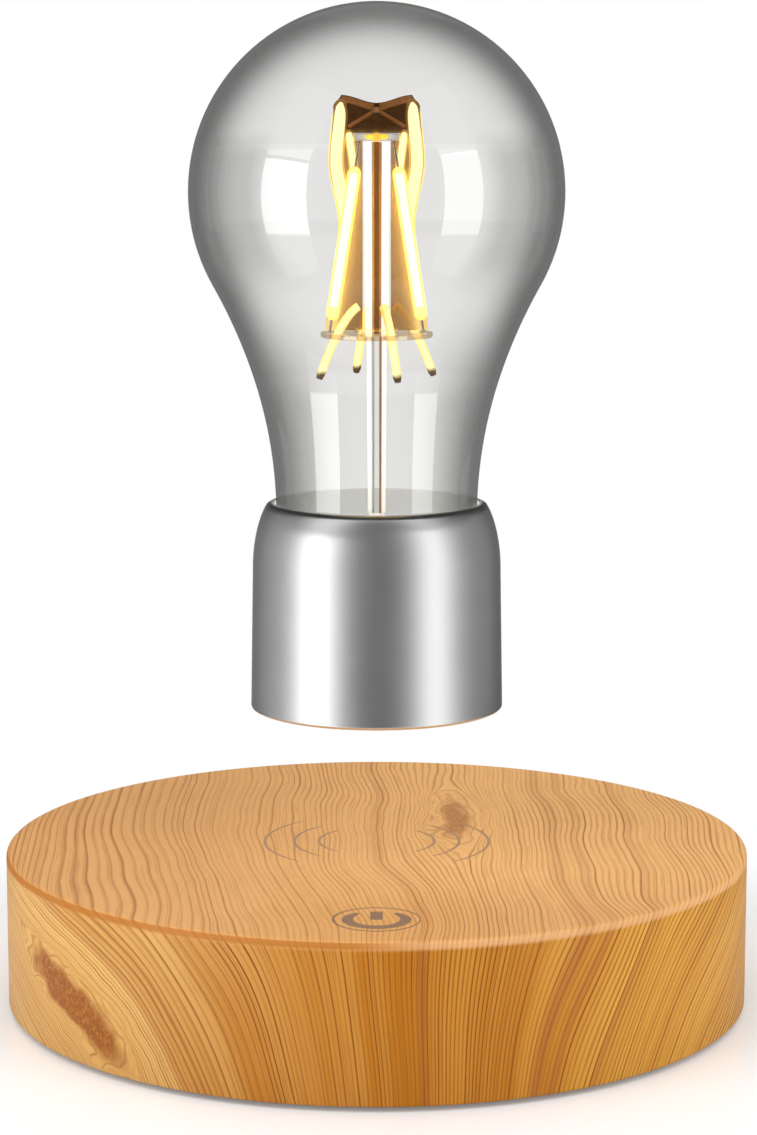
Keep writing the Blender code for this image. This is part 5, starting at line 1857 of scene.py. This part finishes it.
@dataclass
class Envelope:
    """Clear glass bulb: a sphere that flares into a long neck."""

    radius: float = 0.0310
    wall: float = 0.0008
    neck: float = 0.0168
    flare_angle: float = 29.0
    end_slope: float = 0.03
    dome_points: int = 44
    flare_points: int = 30
    steps: int = 160

    def outline(self) -> Profile:
        """Return the outer outline, from the crown down to the foot inside the collar."""
        low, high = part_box("glass_bulb")
        collar_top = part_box("collar_shell")[1].z
        middle = high.z - self.radius
        sweep_angle = math.radians(90 + self.flare_angle)
        points = []
        for index in range(self.dome_points + 1):
            turn = sweep_angle * index / self.dome_points
            points.append((self.radius * math.sin(turn), middle + self.radius * math.cos(turn)))
        start_radius, start = points[-1]
        fall = start - collar_top
        slope_in = -math.tan(math.radians(self.flare_angle)) * fall
        slope_out = -self.end_slope * fall
        for index in range(1, self.flare_points + 1):
            t = index / self.flare_points
            radius = start_radius * (2 * t**3 - 3 * t**2 + 1)
            radius += slope_in * (t**3 - 2 * t**2 + t)
            radius += self.neck * (3 * t**2 - 2 * t**3) + slope_out * (t**3 - t**2)
            points.append((radius, start - fall * t))
        for index in range(1, 4):
            share = index / 3
            points.append((self.neck, collar_top + (low.z - collar_top) * share))
        return points

    def build(self) -> None:
        """Build the envelope with its wall."""
        outer = self.outline()
        inner = []
        for index, (radius, height) in enumerate(outer):
            before = Vector(outer[max(index - 1, 0)])
            after = Vector(outer[min(index + 1, len(outer) - 1)])
            along = (after - before).normalized()
            inward = Vector((along.y, -along.x)) * self.wall
            if inward.x > 0:
                inward = -inward
            if index == 0:
                inward = Vector((0, -self.wall))
            inner.append((max(0.0, radius + inward.x), height + inward.y))
        profile = outer + list(reversed(inner))
        mesh = lathe("glass_envelope", profile, self.steps)
        mark_from(mesh, "inner_wall", 1 + (len(outer) - 1) * self.steps)
        add_piece("glass_envelope", mesh, ENVELOPE_GLASS, Body.BULB, ["glass_bulb"])


@dataclass
class StemMount:
    """Glass stem with its wires, the crown disc and the support disc."""

    bore: float = 0.00097
    top_radius: float = 0.00227
    foot_radius: float = 0.00182
    flare_height: float = 0.0055
    flare_wall: float = 0.0009
    flare_radius: float = 0.0157
    wire: float = 0.00022
    wire_offset: float = 0.00062
    leg_hole: float = 0.0013
    hole_gap: float = 0.0003  # between the stem and the support disc
    bead: float = 0.00185
    bead_skin: float = 0.00012
    crown_edge: float = 0.0003
    support_edge: float = 0.0002
    steps: int = 64

    def stem(self) -> None:
        """Build the stem: a tube that opens into a flare in the neck."""
        low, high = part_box("glass_stem")
        upper = []
        lower = []
        for index in range(13):
            share = index / 12
            height = low.z + self.flare_height * (1 - share) ** 2
            spread = self.flare_radius - self.foot_radius
            upper.append((self.foot_radius + spread * share, height + self.flare_wall))
            lower.append((self.bore + (self.flare_radius - self.bore) * share, height))
        profile = [(self.top_radius, high.z), *upper, *reversed(lower), (self.bore, high.z)]
        mesh = lathe("stem_tube", profile, self.steps, True)
        mark_from(mesh, "bore", (1 + len(upper)) * self.steps)
        add_piece("stem_tube", mesh, STEM_GLASS, Body.BULB, ["glass_stem"])

    def wires(self) -> None:
        """Build the two lead wires in the stem's bore."""
        for index, side in enumerate((-1, 1), 1):
            node = f"lead_wire_{index}"
            low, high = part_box(node)
            x = side * self.wire_offset
            ends = (Vector((x, 0, low.z)), Vector((x, 0, high.z)))
            mesh = rods(f"{node}_metal", [ends], self.wire, 16)
            finish = COPPER_FOIL if side > 0 else TINNED
            add_piece(f"{node}_metal", mesh, finish, Body.BULB, [node])

    def discs(self) -> None:
        """Build the crown disc, and the support disc with its holes for the legs."""
        low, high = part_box("crown_disc")
        mesh = disc("crown_glass", high.x, low.z, high.z, self.crown_edge, 64)
        add_piece("crown_glass", mesh, CROWN_GLASS, Body.BULB, ["crown_disc"])
        foot, top = low.z + self.bead_skin, high.z - self.bead_skin
        mesh = disc("crown_bead", self.bead, foot, top, self.crown_edge, 48)
        add_piece("crown_bead", mesh, GOLD_CORE, Body.BULB)
        low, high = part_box("support_disc")
        radius = high.x
        hole = self.top_radius + self.hole_gap
        points = [(radius, high.z), (radius, low.z), (hole, low.z), (hole, high.z)]
        corners = {0: self.support_edge, 1: self.support_edge}
        mesh = lathe("support_glass", rounded(points, corners, 3), 96, True)
        middle = (low.z + high.z) / 2
        cut = []
        for index in range(4):
            place = LightGuide().leg_place(index, middle)
            foot = Vector((place.x, place.y, low.z - OVER))
            head = Vector((place.x, place.y, high.z + OVER))
            cut.append(pin(f"leg_hole_{index}", foot, head, self.leg_hole, 24))
        mesh = carved(mesh, cut=cut)
        add_piece("support_glass", mesh, DISC_GLASS, Body.BULB, ["support_disc"])

    def build(self) -> None:
        """Build the stem, its wires and the discs."""
        self.stem()
        self.wires()
        self.discs()


@dataclass
class LedFilaments:
    """Four LED filaments: rows of dies in a phosphor jacket, with wire leads."""

    count: int = 4
    radius: float = 0.00105
    lead: float = 0.0002
    foot_circle: float = 0.0089
    head_circle: float = 0.0033
    angle: float = 30.0
    strip: Pair = (0.065, 0.87)
    dies: int = 26
    die_width: float = 0.00135
    die_height: float = 0.0009
    die_gap: float = 0.00008
    tip: float = 0.0011  # how far the jacket reaches below the dies

    def ends(self, index: int) -> tuple[Vector, Vector]:
        """Return the lower and the upper end of one filament's leads."""
        low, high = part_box(f"filament_{index + 1}")
        side = 180 * (index // 2)
        lean = self.angle if index % 2 else -self.angle
        foot = around(side + lean, self.foot_circle, low.z)
        head = around(side + lean, self.head_circle, high.z)
        return foot, head

    def die_row(self) -> Recipe:
        """Return the tree of a row of dies between two ends."""
        recipe = Recipe(
            "die_row",
            {
                "Foot": Vector((0, 0, 0)),
                "Head": Vector((0, 0, 0.03)),
                "Count": self.dies,
                "Die Size": Vector((self.die_width, self.die_height, 0.001)),
            },
        )
        given = recipe.given
        row = recipe.add(
            "GeometryNodeMeshLine",
            {"Count": given("Count"), "Start Location": given("Foot"), "Offset": given("Head")},
            mode="END_POINTS",
        )
        along = recipe.add(
            "ShaderNodeVectorMath", {0: given("Head"), 1: given("Foot")}, operation="SUBTRACT"
        )
        turn = recipe.add("FunctionNodeAlignRotationToVector", {"Vector": along}, axis="Z")
        die = recipe.add("GeometryNodeMeshCube", {"Size": given("Die Size")})
        recipe.finish(recipe.repeated(row, die, Rotation=turn))
        return recipe

    def build(self) -> None:
        """Build the jackets, the dies inside them and the leads."""
        recipe = self.die_row()
        for index in range(self.count):
            foot, head = self.ends(index)
            number = index + 1
            start = foot.lerp(head, self.strip[0])
            end = foot.lerp(head, self.strip[1])
            node = f"filament_{number}"
            mesh = rods(f"{node}_phosphor", [(start, end)], self.radius, 24, 80)
            add_piece(f"{node}_phosphor", mesh, PHOSPHOR, Body.BULB, [node])
            margin = (end - start).normalized() * self.radius
            length = (end - start).length - 2 * margin.length - self.tip
            pitch = length / self.dies
            values = {
                "Foot": start + margin + margin.normalized() * (pitch / 2 + self.tip),
                "Head": end - margin - margin.normalized() * pitch / 2,
                "Die Size": Vector((self.die_width, self.die_height, pitch - self.die_gap)),
            }
            dies = recipe.bake(f"{node}_dies", DIE_GLOW, values)
            add_piece(f"{node}_dies", dies, DIE_GLOW, Body.BULB)
            ends = [(foot, start + margin * 0.4), (end - margin * 0.4, head)]
            mesh = rods(f"{node}_leads", ends, self.lead, 10)
            add_piece(f"{node}_leads", mesh, STEEL, Body.BULB)


@dataclass
class LightGuide:
    """Amber guide over the stem: two crossed plates, their lit edges, a hub and four legs."""

    plate: float = 0.0008
    ear: float = 0.0058
    ear_side: float = 0.0071
    bulge: float = 0.0078
    waist: float = 0.0063
    skirt: float = 0.0084
    dip: float = 0.0013
    ear_share: float = 0.955
    bulge_share: float = 0.72
    waist_share: float = 0.47
    hub_inner: float = 0.00257
    hub_wall: float = 0.0010
    hub_height: float = 0.0042
    leg_radius: float = 0.0007
    leg_reach: float = 0.0101
    leg_drop: float = 0.0067
    leg_angle: float = 20.0
    leg_root: float = 0.02
    leg_bow: float = 0.6
    leg_points: int = 24
    leg_crowd: float = 1.5  # power that crowds the points at the root
    leg_tip: float = 0.7  # radius of a leg's end, as a share of its own
    band: float = 0.0013  # half width of a lit edge
    band_depth: float = 0.0006  # half depth of a lit edge
    thin: Pair = (10.0, 0.75)  # how a band thins towards its ends: power and amount
    strip: float = 0.0008  # half width of a lit strip beside the crown disc
    strip_top: Pair = (0.0046, 0.1462)  # radius and height
    strip_foot: Pair = (0.0036, 0.1388)
    lit_from: float = 0.40  # where the lit edges start, as a share of the plates' height
    lit_part: float = 0.585  # how much of it they take
    rib: float = 0.00032
    rib_cross: float = 0.0011  # how far the ribs cross below the crest
    rib_ends: tuple[tuple[float, float], ...] = ((0.0050, 0.0009), (0.0047, 0.0052))
    clearance: float = 0.0003
    crown_gap: float = 0.00005
    stem_slot: float = 0.00233

    def heights(self) -> tuple[float, float]:
        """Return the guide's foot on the support disc, and the tips of its ears."""
        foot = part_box("support_disc")[1].z + self.clearance
        return foot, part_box("light_guide")[1].z

    def half_width(self, share: float) -> float:
        """Return the plates' half width at a share of their height."""
        knots = [
            (0.0, self.skirt),
            (self.waist_share, self.waist),
            (self.bulge_share, self.bulge),
            (self.ear_share, self.ear_side),
            (1.0, self.ear),
        ]
        for (low, start), (high, end) in zip(knots, knots[1:]):
            if share <= high:
                t = (share - low) / (high - low)
                return start + (end - start) * t * t * (3 - 2 * t)
        return self.ear

    def leg_place(self, index: int, height: float) -> Vector:
        """Return the middle of a leg at a height: it bows out as it goes down."""
        foot, _ = self.heights()
        start = foot + self.hub_height
        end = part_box("support_disc")[0].z - self.leg_drop
        fall = min(1.0, max(0.0, (start - height) / (start - end)))
        radius = self.hub_inner + (self.leg_reach - self.hub_inner) * fall**self.leg_bow
        return around(self.leg_angle + 90 * index, radius, height)

    def crest_drop(self, share: float) -> float:
        """Return how far the crest lies below the ears at a share of the way to its middle."""
        return self.dip * (share * share * (3 - 2 * share))

    def plate_outline(self, eared: bool) -> Profile:
        """Return the outline of one plate, slotted over the stem and the crown disc."""
        foot, top = self.heights()
        top -= 0.0 if eared else self.dip
        steps = 66
        edge = []
        for index in range(steps + 1):
            share = index / steps
            edge.append((self.half_width(share), foot + (top - foot) * share))
        crest = []
        for index in range(1, 9):
            t = index / 8
            drop = self.crest_drop(t) * float(eared)
            crest.append((self.ear * (1 - t), top - drop))
        right = edge + crest[:-1]
        left = [(-x, z) for x, z in reversed(right)]
        crown_low, crown_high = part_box("crown_disc")
        slot = self.stem_slot
        pocket = crown_high.x + self.crown_gap
        inside = [
            (-slot, foot),
            (-slot, crown_low.z - self.crown_gap),
            (-pocket, crown_low.z - self.crown_gap),
            (-pocket, crown_high.z + self.crown_gap),
        ]
        inside += [(-x, z) for x, z in reversed(inside)]
        return right + [(0.0, top - self.dip * float(eared))] + left + inside

    def plate_solid(self, name: str, turn: float) -> bpy.types.Object:
        """Return one plate as an object, turned about the vertical axis."""
        outline = self.plate_outline(turn == 0)
        shape = bmesh.new()
        front = [shape.verts.new((x, -self.plate / 2, z)) for x, z in outline]
        face = shape.faces.new(front)
        grown = bmesh.ops.extrude_face_region(shape, geom=[face])["geom"]
        moved = [item for item in grown if isinstance(item, bmesh.types.BMVert)]
        bmesh.ops.translate(shape, vec=(0, self.plate, 0), verts=moved)
        bmesh.ops.rotate(
            shape, matrix=Matrix.Rotation(math.radians(turn), 3, "Z"), verts=shape.verts
        )
        bmesh.ops.triangulate(shape, faces=[f for f in shape.faces if len(f.verts) > 4])
        return linked(name, finished(shape, name, 40))

    def plates(self) -> None:
        """Build the crossed amber plates as one piece."""
        mesh = taken(self.plate_solid("guide_plate", 0), "guide_plates")
        mesh = carved(mesh, [self.plate_solid("cross_plate", 90)])
        add_piece("guide_plates", mesh, AMBER, Body.BULB, ["light_guide"])

    def legs(self) -> None:
        """Build the hub and the four lit legs."""
        foot, _ = self.heights()
        low, high = foot, foot + self.hub_height
        outer = self.hub_inner + self.hub_wall
        points = [(outer, high), (outer, low), (self.hub_inner, low), (self.hub_inner, high)]
        mesh = lathe("guide_hub", rounded(points, {0: 0.0004, 1: 0.0003}, 4), 48, True)
        add_piece("guide_hub", mesh, HUB_GLOW, Body.BULB)
        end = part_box("support_disc")[0].z - self.leg_drop
        shape = bmesh.new()
        for leg in range(4):
            path = []
            radii = []
            for index in range(self.leg_points + 1):
                along = (index / self.leg_points) ** self.leg_crowd
                share = self.leg_root + (1 - self.leg_root) * along
                path.append(self.leg_place(leg, high + (end - high) * share))
                radii.append(self.leg_radius)
            radii[-1] *= self.leg_tip
            sweep(shape, path, radii, 16)
        mesh = finished(shape, "guide_legs", 60)
        add_piece("guide_legs", mesh, LEG_GLOW, Body.BULB)

    def edge_band(self) -> Recipe:
        """Return the tree that runs a flat oval section along an outline."""
        recipe = Recipe("lit_edge", {"Half Width": self.band, "Half Depth": self.band_depth})
        given = recipe.given
        line = recipe.add("GeometryNodeMeshToCurve", {"Mesh": given("Outline")})
        line = recipe.add(
            "GeometryNodeSetCurveNormal", {"Curve": line, "Normal": (0, 1, 0)}, mode="FREE"
        )
        circle = recipe.circle(1.0, 20)
        size = recipe.add(
            "ShaderNodeCombineXYZ", {0: given("Half Depth"), 1: given("Half Width"), 2: 1.0}
        )
        oval = recipe.add("GeometryNodeTransform", {"Geometry": circle, "Scale": size})
        recipe.finish(recipe.swept(line, oval, recipe.taper(*self.thin)))
        return recipe

    def lit_band(self, recipe: Recipe, name: str, points: list[Vector], half: float) -> None:
        """Build one lit band along a line: a bright core in a yellow jacket.

        Args:
            recipe: The tree of the band.
            name: The band's name.
            points: Its middle line.
            half: Its half width.
        """
        for part, finish, share in (("jacket", EDGE_GLOW, 1.0), ("core", EDGE_CORE, 0.62)):
            edges = [(index, index + 1) for index in range(len(points) - 1)]
            outline = bpy.data.meshes.new("band_outline")
            outline.from_pydata(points, edges, [])
            values = {"Half Width": half * share, "Half Depth": self.band_depth * share}
            mesh = recipe.bake(f"{name}_{part}", finish, values, outline)
            add_piece(f"{name}_{part}", mesh, finish, Body.BULB)

    def lit_edges(self) -> None:
        """Build the lit edges of the front plate and the strips beside the crown disc."""
        recipe = self.edge_band()
        foot, top = self.heights()
        for label, side in (("left", -1), ("right", 1)):
            points = []
            for index in range(33):
                along = self.lit_from + self.lit_part * index / 32
                x = self.half_width(along) - self.band * 0.9
                points.append(Vector((side * x, 0.0, foot + (top - foot) * along)))
            self.lit_band(recipe, f"lit_edge_{label}", points, self.band)
            head = Vector((side * self.strip_top[0], 0.0, self.strip_top[1]))
            tail = Vector((side * self.strip_foot[0], 0.0, self.strip_foot[1]))
            points = [tail.lerp(head, index / 12) for index in range(13)]
            self.lit_band(recipe, f"lit_strip_{label}", points, self.strip)

    def ribs(self) -> None:
        """Build the crossed ribs that show in the dark top of the guide."""
        _, top = self.heights()
        shape = bmesh.new()
        centre = Vector((0.0, -self.plate / 2, top - self.dip - self.rib_cross))
        for side in (-1, 1):
            for reach, drop in self.rib_ends:
                corner = Vector((side * reach, -self.plate / 2, top - drop))
                path, radii = capsule(centre, corner, self.rib)
                sweep(shape, path, radii, 12)
        crest = []
        for index in range(-8, 9):
            t = abs(index) / 8
            height = top - self.crest_drop(1 - t) - self.rib * 1.2
            crest.append(Vector((self.ear * index / 8, -self.plate * 0.4, height)))
        sweep(shape, crest, [self.rib * 0.8] * len(crest), 10)
        mesh = finished(shape, "guide_ribs", 60)
        add_piece("guide_ribs", mesh, RIB, Body.BULB)

    def build(self) -> None:
        """Build the plates, the ribs, the lit edges, the hub and the legs."""
        self.plates()
        self.ribs()
        self.lit_edges()
        self.legs()


# Studio


@dataclass(frozen=True)
class Panel:
    """A soft light: where it stands round the lamp, how large it is and how bright."""

    name: str
    azimuth: float  # degrees from the camera's side, + to the right
    elevation: float
    distance: float
    size: tuple[float, float]
    radiance: float
    mirrored: bool = True  # seen in reflections
    lift: float = 0.0  # how far its middle stands above the aim, upright


def area_light(
    name: str, sizes: tuple[float, ...], area: float, radiance: float
) -> bpy.types.Object:
    """Return a light that the camera doesn't see: a disc for one size, else a rectangle."""
    light = bpy.data.lights.new(name, "AREA")
    light.shape = "DISK" if len(sizes) == 1 else "RECTANGLE"
    light.size, light.size_y = sizes[0], sizes[-1]
    light.energy = radiance * area * math.pi
    thing = linked(name, light)
    thing.visible_camera = False
    return thing


@dataclass
class Studio:
    """Pale floor, white surroundings, soft panels and the camera."""

    aim: tuple[float, float, float] = (0.0, 0.0, 0.13592)
    panels: tuple[Panel, ...] = (
        Panel("left_panel", -56.6, 0.0, 0.6, (0.325, 0.75), 2.75, True, -0.185),
        Panel("right_panel", 52.8, 0.0, 0.6, (0.270, 0.80), 2.05, True, -0.156),
        Panel("left_fill", -97.0, 0.0, 0.6, (0.28, 0.6), 0.19, True, -0.04),
        Panel("right_fill", 83.5, 0.0, 0.6, (0.43, 0.6), 0.16, True, -0.04),
        Panel("left_upper", -56.6, 39.0, 0.7, (0.38, 0.5), 1.3),
        Panel("right_upper", 52.8, 41.0, 0.7, (0.32, 0.5), 1.1),
        Panel("left_rear", -118.0, 0.0, 0.6, (0.14, 0.46), 0.3),
        Panel("right_rear", 118.0, 0.0, 0.6, (0.16, 0.40), 0.3),
        Panel("top_panel", 0.0, 82.0, 0.8, (0.5, 0.5), 1.7, False),
    )
    under_radius: float = 0.021
    under_height: float = 0.0498
    under_radiance: float = 1.0
    floor_radius: float = 0.13
    floor_tone: Colour = (0.86, 0.86, 0.86)
    floor_light: float = 0.17  # what the floor shines by itself where it is seen
    floor_fade: Pair = (84.0, 124.0)  # radii in mm where it turns plain white
    backdrop_side: Pair = (0.26, 0.17)  # slopes where the mirrored white ends
    backdrop_top: Pair = (0.85, 0.6)
    backdrop_above: Pair = (0.31, 0.40)
    backdrop_below: Pair = (0.06, 0.0)
    ambient: float = 0.80
    mirrored: float = 0.012  # level of the dark studio in reflections
    camera_place: tuple[float, float, float] = (0.0003, -0.5, 0.1514)
    camera_pitch: float = 81.152  # degrees from straight down
    lens: float = 95.78  # mm, on a 36 mm sensor

    def floor(self) -> None:
        """Lay the floor: a pale satin disc that stays white where nothing shades it."""
        profile = [(0.0, 0.0), (0.08, 0.0), (self.floor_radius, 0.0)]
        profile += [(self.floor_radius, -0.002), (0.0, -0.002)]
        mesh = lathe("studio_floor", profile, 128)
        made = bpy.data.materials.new("studio_floor")
        made.use_nodes = True
        graph = Graph(made.node_tree)
        cloud = graph.cloud((0.02, 0.02, 0.0), 1.0)
        pale = graph.principled(
            Base_Color=self.floor_tone, Roughness=cloud * 0.04 + 0.16, Specular_IOR_Level=0.5
        )
        path = graph.node("ShaderNodeLightPath", {})
        seen = graph.math(
            "MAXIMUM", graph.wire(path, "Is Camera Ray"), graph.wire(path, "Is Transmission Ray")
        )
        sockets = {"Color": (1, 1, 1), "Strength": seen * self.floor_light}
        light = graph.node("ShaderNodeEmission", sockets)
        both = graph.wire(graph.node("ShaderNodeAddShader", {0: pale, 1: graph.wire(light)}))
        white = graph.node("ShaderNodeEmission", {"Color": (1, 1, 1), "Strength": 1.0})
        far = graph.rise(graph.radius(), *self.floor_fade) * seen
        graph.output(graph.mixed(far, both, graph.wire(white)))
        mesh.materials.append(made)
        thing = linked("studio_floor", mesh)

    def surroundings(self) -> None:
        """Make the world white where it is seen, and a dim studio where it is mirrored."""
        world = bpy.data.worlds.new("studio")
        world.use_nodes = True
        bpy.context.scene.world = world
        graph = Graph(world.node_tree)
        coordinates = graph.node("ShaderNodeTexCoord", {})
        split = graph.node("ShaderNodeSeparateXYZ", {0: graph.wire(coordinates, "Generated")})
        x, y, z = (graph.wire(split, index) for index in range(3))
        path = graph.node("ShaderNodeLightPath", {})
        camera = graph.wire(path, "Is Camera Ray")
        glossy = graph.wire(path, "Is Glossy Ray")
        passed = graph.wire(path, "Is Transmission Ray")
        slope = abs(x) / graph.math("MAXIMUM", y, 0.001)
        backdrop = graph.rise(slope, *self.backdrop_side) * graph.rise(y, 0.0, 0.1)
        backdrop = backdrop * graph.rise(z, *self.backdrop_top)
        above = graph.rise(z, *self.backdrop_above)
        below = graph.rise(z, *self.backdrop_below)
        backdrop = backdrop * graph.math("MAXIMUM", above, below)
        white = graph.math("MAXIMUM", camera, passed)
        white = graph.math("MAXIMUM", white, glossy * backdrop)
        level = glossy * self.mirrored + (1.0 - glossy) * self.ambient
        strength = white + (1.0 - white) * level
        sky = graph.node("ShaderNodeBackground", {"Color": (1, 1, 1), "Strength": strength})
        graph.output(graph.wire(sky), "ShaderNodeOutputWorld")

    def place_panel(self, panel: Panel) -> None:
        """Stand one soft light in its place, turned to the lamp."""
        area = panel.size[0] * panel.size[1]
        thing = area_light(panel.name, panel.size, area, panel.radiance)
        turn = math.radians(panel.azimuth)
        rise = math.radians(panel.elevation)
        out = Vector(
            (math.sin(turn) * math.cos(rise), -math.cos(turn) * math.cos(rise), math.sin(rise))
        )
        thing.location = Vector(self.aim) + out * panel.distance
        thing.location.z += panel.lift
        thing.rotation_euler = out.to_track_quat("Z", "Y").to_euler()
        thing.visible_glossy = panel.mirrored

    def under_light(self) -> None:
        """Light the base's top from under the bulb, where the bulb would shade it."""
        sizes = (2 * self.under_radius,)
        area = math.pi * self.under_radius**2
        thing = area_light("under_light", sizes, area, self.under_radiance)
        thing.location = (0.0, 0.0, self.under_height)
        thing.visible_glossy = False

    def camera(self) -> None:
        """Place the camera at the photograph's viewing angle."""
        lens = bpy.data.cameras.new("camera")
        lens.sensor_width = 36.0
        lens.lens = self.lens
        lens.clip_start = 0.01
        lens.clip_end = 20.0
        thing = linked("camera", lens)
        thing.location = self.camera_place
        thing.rotation_euler = (math.radians(self.camera_pitch), 0.0, 0.0)
        bpy.context.scene.camera = thing

    def build(self) -> None:
        """Set up the studio."""
        self.floor()
        self.surroundings()
        for panel in self.panels:
            self.place_panel(panel)
        self.under_light()
        self.camera()
        scene = bpy.context.scene
        scene.view_settings.view_transform = "Standard"
        scene.cycles.transparent_max_bounces = 48
        LOG.info("studio: %d panels", len(self.panels))


def main() -> None:
    """Build the base, the bulb and the studio in order."""
    logging.basicConfig(level=logging.INFO, format="%(name)s: %(message)s")
    for part in (
        Housing(),
        PrintedMarks(),
        Underside(),
        PowerInlet(),
        BaseWorks(),
        Collar(),
        Envelope(),
        StemMount(),
        LedFilaments(),
        LightGuide(),
        Studio(),
    ):
        part.build()
        LOG.info("%s done", type(part).__name__)


if __name__ == "__main__":
    main()
